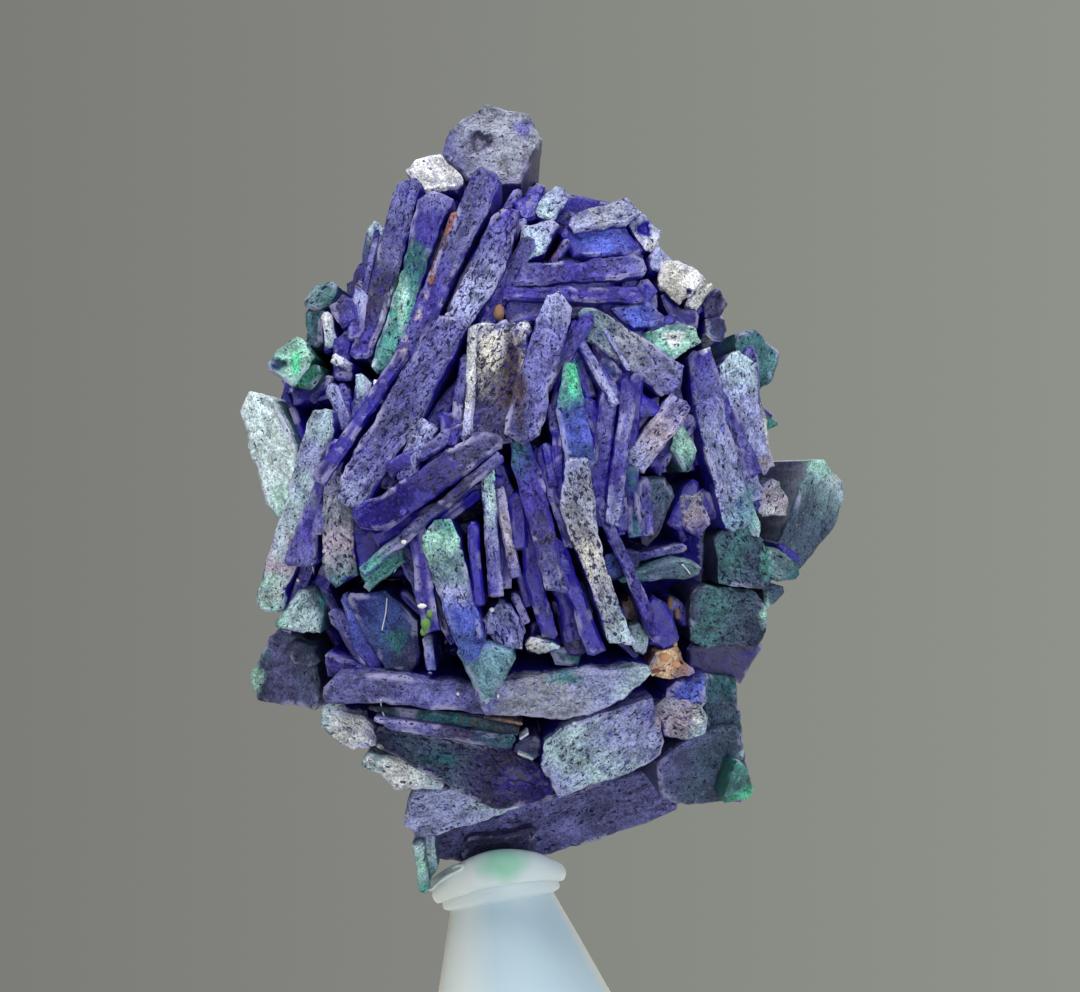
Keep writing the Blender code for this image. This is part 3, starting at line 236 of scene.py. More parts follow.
RIGHT_SIDE = (
    Facet("arch_left", ((3.3, 12.6), (4.0, 13.05), (6.3, 13.7), (7.1, 12.8), (6.4, 12.2), (3.7, 12.0)),
          0.1, Look((T.LILAC, T.ASH, T.LILAC), 0.9, 0.6)),
    Facet("arch_right", ((6.4, 13.6), (7.1, 12.9), (8.2, 12.0), (8.0, 11.3), (7.4, 10.7), (6.4, 12.2)),
          0.1, Look((T.ASH, T.LILAC, T.WHITE), 0.92, 0.5)),
    Facet("arch_inner", ((3.0, 12.1), (6.4, 12.3), (7.3, 10.7), (3.6, 10.7)), -0.7,
          Look((T.NAVY, T.PERI, T.NAVY), 0.55, 0.4)),
    Facet("arch_foot", ((7.4, 10.7), (8.0, 11.3), (8.3, 10.8), (8.2, 9.9), (7.6, 10.0)), 0.2,
          Look((T.LILAC, T.LILAC), 0.9, 0.4)),
    Facet("cream_end_a", ((8.1, 10.6), (8.5, 10.75), (9.95, 10.05), (10.3, 9.4), (9.0, 8.2),
          (7.95, 9.2)), 0.6, Look((T.WHITE, T.CREAM), 1.0, 0.15, T.NAVY)),
    Facet("cream_end_b", ((9.1, 8.0), (9.7, 9.0), (10.85, 9.5), (10.3, 8.5), (9.9, 8.0)), 0.5,
          Look((T.CREAM, T.WHITE), 1.0, 0.15, T.NAVY)),
    Facet("navy_below_cream", ((8.0, 9.0), (9.0, 8.1), (10.1, 8.1), (10.0, 7.2), (9.4, 6.9),
          (8.5, 7.3)), 0.1, Look((T.NAVY, T.NAVY), 0.4, 0.2, T.NAVY)),
    Facet("dark_knob_upper", ((10.9, 9.3), (11.5, 8.4), (11.0, 7.6), (10.3, 7.7), (10.1, 8.4)), 0.5,
          Look((T.DUSK, T.DUSK), 0.8, 0.4)),
    Facet("dark_knob_lower", ((10.3, 7.6), (11.2, 7.7), (11.35, 7.1), (11.2, 6.5), (10.3, 6.5)), 0.5,
          Look((T.DUSK, T.SLATE), 0.8, 0.4)),
    Facet("broad_diagonal", ((4.0, 8.2), (5.0, 8.1), (9.2, 5.2), (9.0, 4.0), (8.2, 3.7), (4.3, 6.6)),
          0.9, Look((T.SAGE, T.ASH, T.LAVENDER), 0.9, 0.6)),
    Facet("green_crust", ((7.3, 6.9), (8.6, 7.4), (9.9, 7.2), (10.1, 6.5), (9.0, 5.6), (8.3, 5.2),
          (7.3, 6.0)), 1.3, Look((T.MINT, T.MINT, T.AQUA), 1.0, 0.6, T.SEA), 3.5),
    Facet("fan_face", ((4.5, 6.8), (6.3, 4.7), (5.8, 4.2), (4.8, 5.0)), 0.4,
          Look((T.TEAL, T.NAVY), 0.5, 0.3, T.NAVY)),
    Strip("fan_blade", (3.9, 6.8), (5.8, 3.2), 0.5, 1.0, Look((T.LAVENDER, T.LILAC), 0.75, 0.4)),
    Facet("green_spot_blade", ((3.2, 5.4), (3.7, 5.4), (4.3, 3.5), (4.9, 0.5), (4.2, -0.4), (3.3, 0.1),
          (2.8, 3.0)), 1.2, Look((T.AQUA, T.AQUA, T.STEEL, T.PERI, T.STEEL, T.VIOLET), 0.85, 0.4)),
    Strip("thin_upright", (6.6, 4.8), (5.6, -2.9), 0.8, 1.2,
          Look((T.VIOLET, T.LAVENDER, T.VIOLET, T.LILAC), 0.8, 0.5), "an"),
    Facet("blue_facet", ((6.6, 4.4), (8.3, 2.8), (6.8, 2.6)), 0.7, Look((T.ULTRA, T.ULTRA), 0.3, 0.2)),
    Strip("pale_diagonal", (9.2, 3.6), (6.7, 0.1), 1.25, 1.0,
          Look((T.LAVENDER, T.PINK, T.LILAC), 0.9, 0.7)),
    Strip("dark_green_blade", (6.5, 0.2), (6.9, -3.5), 0.75, 0.7,
          Look((T.TEAL, T.NAVY, T.TEAL), 0.6, 0.3)),
    Facet("green_tipped", ((8.7, 2.2), (9.0, 2.6), (9.85, 1.0), (9.3, -0.4), (8.6, 1.0)), 0.8,
          Look((T.MINT, T.MINT, T.TEAL), 0.95, 0.3, T.TEAL)),
    Facet("dim_block", ((7.0, -0.4), (8.4, -0.3), (8.7, -1.4), (8.0, -3.2), (7.2, -4.0)), 0.2,
          Look((T.SLATE, T.DUSK), 0.85, 0.6, T.SHADOW)),
    Facet("tan_block", ((8.9, -1.2), (10.0, -1.0), (10.6, -2.7), (10.0, -3.4), (9.2, -2.9)), 0.6,
          Look((T.ASH, T.PINK, T.VIOLET), 0.85, 0.7)),
    Facet("right_violet_blade", ((9.4, 6.0), (10.6, 6.1), (11.6, 3.0), (10.9, 0.6), (10.0, 1.6)), 0.9,
          Look((T.VIOLET, T.LAVENDER, T.PERI), 0.8, 0.6)),
    Strip("right_blade_a", (10.4, 3.6), (12.1, -3.0), 1.7, 1.3,
          Look((T.LAVENDER, T.LILAC, T.LILAC, T.MIST), 0.9, 0.6), "nn"),
    Strip("right_blade_b", (11.8, 6.0), (12.6, 0.4), 1.6, 0.6,
          Look((T.ICE, T.LILAC, T.LILAC), 0.92, 0.5), "pn"),
    Strip("right_blade_c", (11.9, 1.4), (13.0, -1.6), 0.9, 1.0, Look((T.LAVENDER, T.LILAC), 0.85, 0.5),
          "an"),
    Facet("teal_block", ((11.8, 6.8), (12.8, 7.0), (13.95, 5.8), (13.6, 4.4), (12.7, 4.0),
          (12.0, 5.4)), -0.2, Look((T.TEAL, T.SEA, T.TEAL), 0.95, 0.6, T.TEAL)),
    Facet("pink_column", ((12.5, 3.6), (13.2, 3.3), (13.8, 0.2), (13.2, -0.2), (12.6, 0.5)), 0.2,
          Look((T.PINK, T.WHITE, T.PINK), 0.92, 0.7)),
    Facet("green_spike", ((12.9, 3.2), (14.1, 2.35), (13.2, 2.0)), 0.2,
          Look((T.FOREST, T.AQUA), 0.9, 0.3, T.FOREST), 3.0),
    Facet("white_block", ((13.1, -0.8), (13.9, -0.2), (14.4, -1.7), (14.3, -2.3), (13.1, -2.4)), 0.6,
          Look((T.ICE, T.PINK, T.WHITE), 0.95, 0.5, T.SEA)),
    Facet("green_leg", ((11.4, -0.8), (12.4, -0.8), (13.1, -2.6), (13.1, -3.4), (12.7, -3.3),
          (11.9, -2.4)), 1.5, Look((T.AQUA, T.MIST, T.MINT), 0.98, 0.3, T.TEAL)),
    Facet("far_prism", ((15.4, 0.55), (16.2, 0.5), (17.4, -0.7), (17.5, -1.6), (17.0, -2.8),
          (15.0, -5.1), (13.9, -5.2), (13.8, -3.6)), -2.4,
          Look((T.ICE, T.SAGE, T.SLATE, T.SLATE, T.SAGE), 1.15, 0.35, T.ASH), 5.0),
    Facet("right_tip", ((13.2, -4.1), (14.0, -3.9), (14.9, -4.7), (15.0, -5.4), (14.0, -5.7),
          (13.3, -5.3)), 0.3, Look((T.ICE, T.SAGE, T.TEAL), 0.95, 0.4, T.TEAL)),
    Facet("right_heel", ((13.2, -5.7), (14.4, -5.9), (13.9, -6.6), (13.3, -7.2)), -0.2,
          Look((T.SLATE, T.SLATE), 0.9, 0.4, T.SHADOW)),
    Facet("green_block_a", ((10.6, -3.5), (11.5, -2.7), (12.7, -2.7), (13.4, -3.8), (13.6, -5.4),
          (13.4, -6.0), (10.9, -5.7), (10.8, -4.4)), 1.1,
          Look((T.SLATE, T.SEA, T.SLATE, T.SLATE), 0.95, 0.8, T.SHADOW)),
    Facet("green_block_b", ((9.4, -6.0), (10.2, -5.75), (12.4, -5.9), (13.5, -6.8), (13.5, -8.2),
          (13.0, -8.9), (10.4, -9.0), (9.6, -8.6)), 0.9,
          Look((T.DUSK, T.SEA, T.SLATE, T.SHADOW), 0.93, 0.8, T.SHADOW)),
    Facet("navy_block", ((9.4, -8.7), (13.3, -8.6), (12.8, -9.5), (12.0, -10.6), (10.1, -10.3),
          (9.4, -9.9)), 0.0, Look((T.NAVY, T.NAVY, T.SHADOW), 0.12, 0.3, T.NAVY)),
    Facet("thin_ledge", ((5.8, -5.75), (7.2, -4.95), (8.9, -4.35), (9.6, -4.5), (10.4, -5.1),
          (9.3, -5.5), (7.5, -5.6)), 1.7, Look((T.SAGE, T.SLATE, T.TEAL), 0.9, 0.4, T.TEAL), 3.6),
    Facet("slate_face", ((4.9, -4.3), (6.0, -4.0), (7.2, -4.2), (7.0, -5.0), (5.5, -5.7)), 0.5,
          Look((T.DUSK, T.STEEL), 0.8, 0.4)),
    Facet("glossy_lump", ((7.2, -6.8), (7.7, -6.3), (8.4, -6.7), (8.9, -7.6), (9.1, -8.7), (8.2, -9.0),
          (7.4, -8.6)), 0.0, Look((T.ULTRA, T.ULTRA), 0.1, 0.1), 3.5),
    Facet("tan_lump", ((6.1, -6.4), (7.1, -6.3), (7.3, -7.7), (6.3, -7.5)), -0.2,
          Look((T.TAN, T.SHADOW), 0.9, 0.5, T.SHADOW), 3.0),
)

CENTRE_LOW = (
    Facet("cream_pitted", ((3.3, 0.7), (4.4, 0.5), (5.3, -5.0), (6.9, -8.9), (5.5, -8.7), (4.4, -5.6),
          (3.1, -2.2)), 1.8, Look((T.LILAC, T.ASH, T.CREAM, T.ASH, T.ICE), 0.93, 1.0)),
    Facet("centre_blade", ((0.5, 1.9), (1.4, 1.75), (2.2, -0.5), (3.5, -6.4), (2.3, -6.0), (0.6, 0.2)),
          1.3, Look((T.TEAL, T.VIOLET, T.DUSK, T.PLUM), 0.76, 0.7)),
    Strip("centre_sliver_a", (-0.7, 0.5), (-0.2, -6.4), 0.75, 1.4,
          Look((T.MINT, T.ICE, T.LAVENDER, T.VIOLET), 0.85, 0.5), "pn"),
    Strip("centre_sliver_b", (-0.1, -0.8), (0.8, -5.5), 0.55, 1.2,
          Look((T.LILAC, T.PINK, T.LAVENDER), 0.85, 0.5)),
    Strip("centre_sliver_c", (2.2, 1.4), (2.7, -0.9), 0.5, 1.0, Look((T.LAVENDER, T.VIOLET), 0.7, 0.4),
          "pn"),
    Strip("centre_sliver_d", (2.9, 2.0), (3.0, -1.8), 0.55, 0.9, Look((T.VIOLET, T.NAVY), 0.6, 0.4)),
    Facet("dark_violet_blade", ((1.0, -2.0), (1.6, -2.2), (2.4, -6.2), (3.1, -8.5), (2.2, -8.3),
          (1.3, -6.0)), 0.8, Look((T.NAVY, T.VIOLET, T.DUSK), 0.5, 0.4)),
    Strip("dark_inner_blade", (3.3, -6.2), (4.1, -9.3), 1.5, 0.4,
          Look((T.NAVY, T.SHADOW), 0.5, 0.3, T.NAVY)),
    Facet("green_top_blade", ((-3.9, -3.3), (-3.3, -2.6), (-2.5, -2.4), (-2.1, -3.4), (-0.7, -8.6),
          (-1.2, -9.6), (-1.9, -9.5), (-3.95, -4.0)), 1.9,
          Look((T.AQUA, T.MINT, T.SAGE, T.LILAC, T.PERI, T.STEEL, T.PERI), 0.95, 0.6)),
    Facet("green_point", ((-2.3, -8.8), (-0.8, -8.6), (1.0, -9.1), (-0.2, -11.3), (-0.6, -11.85),
          (-1.0, -11.7), (-1.7, -10.1)), 2.0,
          Look((T.PERI, T.MIST, T.MIST, T.SEA), 0.98, 0.15, T.TEAL)),
    Facet("dark_thin_blade", ((-4.3, -3.8), (-3.9, -4.1), (-2.2, -8.6), (-2.5, -8.9), (-3.6, -6.6)),
          1.0, Look((T.STEEL, T.DUSK, T.NAVY), 0.6, 0.4)),
    Strip("small_lavender", (-3.7, -8.4), (-3.4, -10.1), 0.5, 0.9, Look((T.LILAC, T.PERI), 0.8, 0.3)),
    Facet("rilled_patch", ((-0.9, -7.6), (0.0, -6.7), (0.6, -6.8), (1.3, -8.0), (1.1, -8.95),
          (0.2, -9.0), (-0.7, -8.3)), 1.2, Look((T.LILAC, T.LAVENDER, T.LILAC), 0.85, 1.0)),
    Facet("pale_rim", ((1.1, -8.9), (1.6, -8.4), (2.4, -8.6), (3.3, -9.0), (1.9, -9.2)), 1.2,
          Look((T.CREAM, T.ICE), 0.9, 0.5)),
    Facet("slate_rim", ((2.4, -8.9), (4.1, -8.9), (4.1, -9.8), (2.8, -9.7)), 0.6,
          Look((T.SLATE, T.TEAL), 0.8, 0.4, T.SHADOW)),
    Facet("heel_green", ((6.2, -8.0), (7.0, -7.7), (7.5, -8.0), (7.4, -9.4), (6.8, -9.1)), 1.0,
          Look((T.SAGE, T.ICE), 0.9, 0.4, T.TEAL)),
    Facet("ledge_wedge", ((-8.9, -9.0), (-7.9, -9.4), (-4.9, -10.6), (-7.0, -10.5), (-8.7, -10.4)),
          0.7, Look((T.VIOLET, T.DUSK), 0.75, 0.6)),
    Facet("long_ledge_left", ((-9.0, -11.6), (-8.8, -10.8), (-8.2, -10.2), (-6.0, -10.3),
          (-0.5, -10.9), (-0.3, -12.25), (-3.0, -12.0)), 1.4,
          Look((T.PLUM, T.PLUM, T.LAVENDER, T.PLUM), 0.92, 0.35)),
    Facet("long_ledge_right", ((-1.5, -10.9), (0.8, -10.4), (4.0, -9.95), (7.8, -9.9), (7.0, -10.9),
          (6.4, -11.5), (4.5, -12.4), (3.0, -12.6), (-0.8, -12.3)), 1.5,
          Look((T.ICE, T.LILAC, T.ASH, T.ASH, T.LAVENDER), 0.95, 0.25)),
)

BASE = (
    Facet("teal_under_ledge", ((-6.9, -11.8), (-1.0, -12.2), (1.0, -12.8), (0.9, -13.3), (-1.0, -13.1),
          (-5.5, -12.4)), 0.5, Look((T.SHADOW, T.TEAL, T.SHADOW), 0.7, 0.3, T.SHADOW)),
    Facet("thin_lavender_ledge", ((-6.6, -12.3), (-5.0, -12.45), (0.0, -13.3), (0.9, -13.25),
          (0.5, -14.05), (-0.2, -14.0), (-5.5, -12.95)), 1.1,
          Look((T.LAVENDER, T.LAVENDER, T.DUSK, T.TEAL), 0.9, 0.4)),
    Facet("small_bright_facet", ((0.5, -14.0), (1.2, -13.4), (2.0, -13.3), (2.1, -14.3), (1.6, -14.6),
          (1.0, -14.4)), 0.7, Look((T.DUSK, T.SLATE), 0.7, 0.2, T.NAVY)),
    Facet("white_ledge", ((-9.0, -12.0), (-8.2, -12.0), (-6.9, -12.3), (-6.3, -12.8), (-5.8, -13.8),
          (-7.4, -14.1), (-8.2, -13.6), (-9.0, -12.9)), 0.9,
          Look((T.ICE, T.WHITE, T.LILAC), 0.95, 0.4)),
    Facet("dark_plate", ((-6.3, -12.8), (-3.0, -13.3), (0.3, -14.0), (2.1, -14.9), (2.9, -15.8),
          (2.3, -16.5), (0.0, -16.95), (-1.2, -16.5), (-6.2, -13.9)), 0.5,
          Look((T.SHADOW, T.SLATE, T.DUSK, T.NAVY), 0.82, 0.9, T.NAVY)),
    Facet("cream_ledge", ((-7.1, -14.9), (-6.7, -14.2), (-5.0, -14.4), (-3.0, -15.4), (-2.8, -16.0),
          (-5.4, -15.95), (-6.1, -15.3)), 1.0, Look((T.ICE, T.WHITE, T.ICE), 1.0, 0.5, T.SEA)),
    Facet("lavender_plate", ((-4.7, -16.6), (-4.4, -15.8), (-2.2, -15.7), (1.0, -16.8), (1.1, -17.1),
          (-1.5, -17.95), (-3.3, -18.35), (-4.2, -18.2), (-4.7, -17.8)), 0.4,
          Look((T.ICE, T.LILAC, T.LILAC), 0.95, 0.6)),
    Facet("pale_foot_blade", ((-4.3, -18.0), (-3.3, -18.2), (-3.15, -20.0), (-3.6, -20.8),
          (-4.15, -19.9)), -2.6, Look((T.LILAC, T.ICE, T.AQUA), 0.95, 0.2, T.SEA), 2.6),
    Facet("bottom_plate", ((-3.5, -18.3), (3.0, -16.2), (8.2, -14.6), (9.3, -15.2), (8.8, -16.8),
          (5.0, -18.4), (2.2, -19.3), (-0.5, -20.0), (-3.3, -19.8)), -3.9,
          Look((T.LAVENDER, T.PLUM, T.LAVENDER, T.PLUM), 0.97, 0.6, T.DUSK), 5.6),
    Facet("foot_crystal", ((-2.0, -18.2), (1.8, -18.0), (1.6, -21.0), (-1.8, -21.3)), -4.2,
          Look((T.DUSK, T.DUSK), 0.9, 0.4, T.DUSK), 3.4),
    Facet("pitted_block", ((2.2, -13.4), (3.3, -12.6), (6.6, -11.6), (7.7, -11.4), (8.3, -13.7),
          (8.2, -14.5), (7.4, -15.0), (3.0, -16.5), (2.0, -14.8)), 1.2,
          Look((T.LAVENDER, T.LILAC, T.ICE, T.LILAC), 0.93, 0.55)),
    Facet("round_lump", ((7.7, -12.0), (8.3, -11.4), (9.9, -11.6), (10.4, -12.3), (10.3, -13.1),
          (9.6, -13.6), (8.4, -13.4)), 1.5, Look((T.ASH, T.PINK, T.ICE), 0.93, 0.6), 3.5),
    Facet("violet_lump", ((8.2, -11.2), (8.9, -10.5), (10.3, -10.2), (10.4, -12.0), (9.5, -12.2)), 1.2,
          Look((T.VIOLET, T.PERI, T.LILAC), 0.75, 0.8)),
    Facet("right_column", ((10.2, -10.1), (11.9, -10.5), (12.1, -12.0), (12.3, -14.5), (10.6, -14.2),
          (10.2, -12.0)), 0.2, Look((T.TEAL, T.SLATE, T.SEA), 0.9, 0.5, T.NAVY)),
    Facet("lower_right_band", ((7.9, -14.7), (10.0, -13.3), (12.0, -12.9), (12.4, -14.8),
          (12.3, -16.5), (9.0, -16.7), (8.0, -16.4)), 0.2,
          Look((T.PLUM, T.SLATE, T.PLUM), 0.95, 0.5, T.DUSK)),
    Facet("green_wedge", ((11.3, -16.0), (12.0, -14.7), (12.35, -14.9), (12.8, -16.1), (12.5, -16.5),
          (11.2, -16.55)), 0.4, Look((T.AQUA, T.SEA, T.GLOW), 0.95, 0.3, T.FOREST), 3.5),
)

# Thin crystals, glints and two bodies of salmon clay that lie in the gaps of the front.
DETAILS = (
    Strip("salmon_seam", (-2.2, 13.0), (-3.6, 9.2), 0.42, 0.62,
          Look((T.SALMON, T.BROWN, T.SALMON), 0.9, 0.5, T.BROWN), "pp", 2.0),
    Facet("clay_flow", ((7.4, -9.95), (7.9, -9.05), (8.55, -8.98), (8.96, -8.9), (9.2, -9.7),
          (9.85, -10.1), (9.4, -10.37), (8.55, -10.45), (7.6, -10.3)), 1.0,
          Look((T.SAND, T.SAND, T.TAN, T.SALMON), 1.2, 0.3, T.SALMON), 1.6),
    Strip("white_shard", (-6.3, 4.6), (-6.05, 3.3), 0.32, 0.9,
          Look((T.WHITE, T.WHITE), 1.0, 0.0, T.ICE), "pp", 1.5),
    Strip("column_edge", (-1.35, 7.25), (-1.6, 1.6), 0.5, 1.2,
          Look((T.WHITE, T.WHITE, T.LILAC), 0.95, 0.4), "nn", 3.0),
    Strip("white_lump", (-8.4, 5.6), (-7.5, 5.1), 0.5, 0.5, Look((T.WHITE, T.LILAC), 1.0, 0.3), "nn",
          2.0),
    Strip("fan_thin_a", (4.7, 8.0), (6.5, 4.9), 0.28, 0.75, Look((T.LAVENDER, T.LILAC), 0.8, 0.4),
          "pp", 2.0),
    Strip("fan_thin_b", (7.3, 5.7), (8.9, 3.3), 0.3, 0.5, Look((T.VIOLET, T.LAVENDER), 0.7, 0.4), "pp",
          2.0),
    Strip("brown_seam", (-0.9, -12.35), (1.2, -12.7), 0.22, 1.0,
          Look((T.BROWN, T.TAN), 1.0, 0.3, T.BROWN), "pp", 1.5),
    # Two white strips that are painted highlights on the small facet.
    Strip("low_glint_a", (0.85, -14.15), (1.7, -14.5), 0.16, 1.15,
          Look((T.WHITE, T.ICE), 1.0, 0.0, T.ICE), "pp", 0.8),
    Strip("low_glint_b", (0.95, -13.5), (1.45, -13.15), 0.14, 1.2,
          Look((T.WHITE, T.ICE), 1.0, 0.0, T.ICE), "pp", 0.8),
    Strip("foot_sliver", (-4.15, -18.6), (-3.75, -21.3), 0.55, -2.0,
          Look((T.ICE, T.MINT, T.AQUA), 1.0, 0.1, T.SEA), "np", 1.6),
)


class Spot(NamedTuple):
    """A patch of the front view: its place, half sizes, colour, dust cover and how deep it is sunk."""

    x: float
    z: float
    wide: float
    high: float
    tone: Tone
    cover: float
    sunk: float = 0.0


# A streak's spots: their spacing in half widths, the share left out, their stray and sizes.
STREAK_STEP = 2.2
STREAK_GAPS = 0.4
STREAK_STRAY = 0.08
STREAK_SIZES = (0.45, 1.25)
STREAK_TALL = 1.5


def streak(start: tuple, end: tuple, radius: float, tone: Tone) -> tuple[Spot, ...]:
    """A broken line of small spots, for light that catches along a crystal's edge.

    Args:
        start: One end in the front view.
        end: The other end.
        radius: Half width of the line.
        tone: Its colour.

    Returns:
        The spots.
    """
    chance = random.Random(round(start[0] * 31 + start[1] * 7))
    count = max(2, round(math.dist(start, end) / (radius * STREAK_STEP)))
    spots = []
    for number in range(count):
        if chance.random() < STREAK_GAPS:
            continue
        share = (number + chance.uniform(-0.5, 0.5)) / (count - 1)
        size = radius * chance.uniform(*STREAK_SIZES)
        x = start[0] + (end[0] - start[0]) * share + chance.uniform(-STREAK_STRAY, STREAK_STRAY)
        z = start[1] + (end[1] - start[1]) * share + chance.uniform(-STREAK_STRAY, STREAK_STRAY)
        spots.append(Spot(x, z, size, size * STREAK_TALL, tone, 1.0))
    return tuple(spots)


# Painted highlights: broken lines of light along crystal edges.
GLINT_STREAKS = (
    streak((-5.1, 9.7), (-6.45, 5.1), 0.17, T.ICE) + streak((-3.4, 9.6), (-5.0, 5.6), 0.12, T.PINK)
    + streak((-0.9, 7.3), (1.4, 7.3), 0.14, T.WHITE)
    + streak((-8.9, -12.1), (-6.0, -13.9), 0.2, T.WHITE) + streak((-7.0, -14.4), (-3.0, -15.6), 0.2, T.WHITE)
    + streak((2.3, -13.5), (7.6, -11.5), 0.14, T.ICE) + streak((8.9, 7.4), (10.0, 6.6), 0.25, T.WHITE)
    + streak((16.0, 0.45), (17.3, -0.9), 0.14, T.WHITE)
)

SPOTS = GLINT_STREAKS + (
    Spot(-1.0, 16.4, 0.5, 0.45, T.NAVY, 0.15, 0.35),
    Spot(1.15, 17.1, 0.5, 0.45, T.LAVENDER, 0.9),
    Spot(1.6, 15.3, 0.55, 0.7, T.NAVY, 0.2),
    Spot(-11.1, 5.3, 0.42, 0.28, T.NAVY, 0.1, 0.35),
    Spot(-10.2, 5.3, 0.25, 0.8, T.GLOW, 0.98),
    Spot(7.2, 12.05, 0.34, 0.34, T.NAVY, 0.0, 0.4),
    Spot(9.5, 8.9, 0.25, 0.14, T.SHADOW, 0.0, 0.25),
    Spot(2.7, 11.0, 0.14, 0.42, T.SALMON, 1.0),
    Spot(-0.55, 5.9, 0.5, 0.95, T.CREAM, 0.95),
    # Painted shade: brown-dark down the right of the column, slightly sunk.
    Spot(0.6, 4.4, 0.75, 2.6, T.BROWN, 0.95, 0.12),
    Spot(-0.1, 2.4, 1.0, 0.9, T.DUSK, 0.9),
    Spot(-5.2, -8.5, 0.6, 0.6, T.TEAL, 0.9),
    Spot(-12.3, -10.4, 0.4, 0.95, T.MINT, 0.95),
    Spot(-11.9, -9.0, 0.35, 0.55, T.SEA, 0.95),
    Spot(12.35, -1.9, 0.45, 1.2, T.MIST, 0.95),
    Spot(13.35, -0.35, 0.22, 0.22, T.SHADOW, 0.0, 0.3),
    Spot(11.5, -11.0, 0.45, 0.55, T.TEAL, 0.9),
    # Painted highlight: a small glint on the right column.
    Spot(12.1, -14.2, 0.16, 0.26, T.ICE, 0.95),
    Spot(9.9, -12.5, 0.26, 0.2, T.WHITE, 0.95),
    Spot(7.95, -12.4, 0.22, 0.6, T.PINK, 0.95),
    Spot(3.2, -10.35, 0.9, 0.4, T.SEA, 0.9),
    Spot(16.2, 0.2, 0.95, 0.5, T.MINT, 0.95),
    Spot(13.3, -4.6, 0.28, 0.95, T.AQUA, 0.95),
    Spot(13.3, -7.2, 0.28, 0.75, T.MINT, 0.95),
    Spot(-2.6, -9.0, 0.5, 0.6, T.PERI, 0.9),
    Spot(0.6, -15.4, 0.8, 0.5, T.ULTRA, 0.4),
    Spot(-3.0, -14.4, 0.9, 0.35, T.TEAL, 0.85),
    Spot(3.6, 4.6, 0.34, 0.85, T.GLOW, 1.0),
    Spot(-4.9, 8.6, 0.3, 1.3, T.MINT, 0.95),
    Spot(9.1, 7.6, 0.9, 0.6, T.NAVY, 0.1),
    Spot(-8.9, -6.6, 0.3, 0.5, T.TEAL, 0.9),
    Spot(8.7, 6.6, 0.5, 0.4, T.WHITE, 0.95),
    # Painted shade low on the bottom plate, just above the holder's lip.
    Spot(-0.1, -19.0, 0.7, 0.4, T.SHADOW, 0.9),
)

# The whole outline of the crystals in the front view, which no back crystal passes.
SILHOUETTE = (
    (-2.5, 17.0), (-0.8, 18.25), (1.4, 17.5), (2.1, 16.5), (1.2, 14.8), (2.7, 14.3), (3.6, 13.2),
    (6.3, 13.7), (7.2, 12.8), (8.2, 12.1), (8.1, 11.0), (9.95, 10.05), (11.5, 8.4), (11.3, 7.0),
    (12.8, 7.0), (13.95, 5.8), (13.4, 4.0), (14.1, 2.35), (13.7, 0.8), (14.2, -0.6), (16.2, 0.5),
    (17.5, -0.7), (17.4, -2.0), (15.0, -5.1), (13.7, -6.9), (13.6, -8.3), (12.0, -10.6),
    (12.1, -13.0), (12.8, -16.1), (9.0, -16.65), (5.0, -18.4), (2.2, -19.3), (-3.3, -20.0),
    (-4.2, -18.2), (-4.7, -16.2), (-7.1, -15.0), (-9.0, -13.0), (-9.0, -11.95), (-12.2, -11.55),
    (-12.7, -10.5), (-11.4, -8.0), (-12.4, -6.8), (-11.0, -2.5), (-12.4, 0.6), (-13.05, 3.0),
    (-11.7, 4.9), (-11.2, 6.0), (-9.6, 7.4), (-10.0, 8.3), (-9.3, 9.3), (-7.3, 9.4),
    (-6.6, 12.6), (-4.7, 15.1), (-2.95, 15.8),
)

# Looks of the thin blades that grow beside the large ones, lower down.
BESIDE_LOOKS = (
    Look((T.ULTRA, T.VIOLET), 0.45, 0.4),
    Look((T.VIOLET, T.LAVENDER, T.VIOLET), 0.7, 0.6),
    Look((T.NAVY, T.VIOLET, T.NAVY), 0.5, 0.4),
    Look((T.LAVENDER, T.VIOLET), 0.8, 0.7),
)

# Looks that side and back crystals take, in the share that the front shows them.
BACK_LOOKS = (
    Look((T.VIOLET, T.LAVENDER, T.VIOLET), 0.75, 0.6),
    Look((T.LAVENDER, T.LILAC, T.LAVENDER), 0.88, 0.9),
    Look((T.VIOLET, T.NAVY, T.LAVENDER), 0.65, 0.5),
    Look((T.LILAC, T.LAVENDER, T.PERI), 0.85, 0.7),
    Look((T.LAVENDER, T.DUSK, T.VIOLET), 0.8, 0.7),
    Look((T.SLATE, T.LAVENDER, T.STEEL), 0.85, 0.5, T.NAVY),
    Look((T.LAVENDER, T.SEA, T.TEAL), 0.88, 0.5),
    Look((T.ICE, T.LILAC, T.LAVENDER), 0.92, 0.5),
    Look((T.SEA, T.SLATE, T.SAGE), 0.92, 0.6, T.TEAL),
    Look((T.DUSK, T.STEEL, T.DUSK), 0.85, 0.5),
    Look((T.PERI, T.VIOLET, T.ULTRA), 0.5, 0.3),
    Look((T.MINT, T.AQUA, T.SEA), 0.95, 0.4, T.FOREST),
)


def golden_way(index: int, total: int) -> Vector:
    """Direction of one of many spots that are spread evenly over a ball, by the golden angle."""
    turn = math.pi * (3 - math.sqrt(5)) * index
    height = 1 - 2 * (index + 0.5) / total
    ring = math.sqrt(1 - height * height)
    return Vector((ring * math.cos(turn), ring * math.sin(turn), height))


def globe(rings: int, sides: int) -> tuple[list[Vector], list[tuple[int, ...]]]:
    """Points and faces of a ball of radius 1.

    Args:
        rings: How many rows of faces it has from top to bottom.
        sides: How many faces it has round.

    Returns:
        Its points, row by row, and its faces.
    """
    points, faces = [], []
    for row in range(rings + 1):
        tilt = math.pi * row / rings
        for side in range(sides):
            turn = 2 * math.pi * side / sides
            points.append(Vector((math.sin(tilt) * math.cos(turn), math.sin(tilt) * math.sin(turn),
                                  math.cos(tilt))))
    for row in range(rings):
        faces += band(row * sides, sides)
    return points, faces


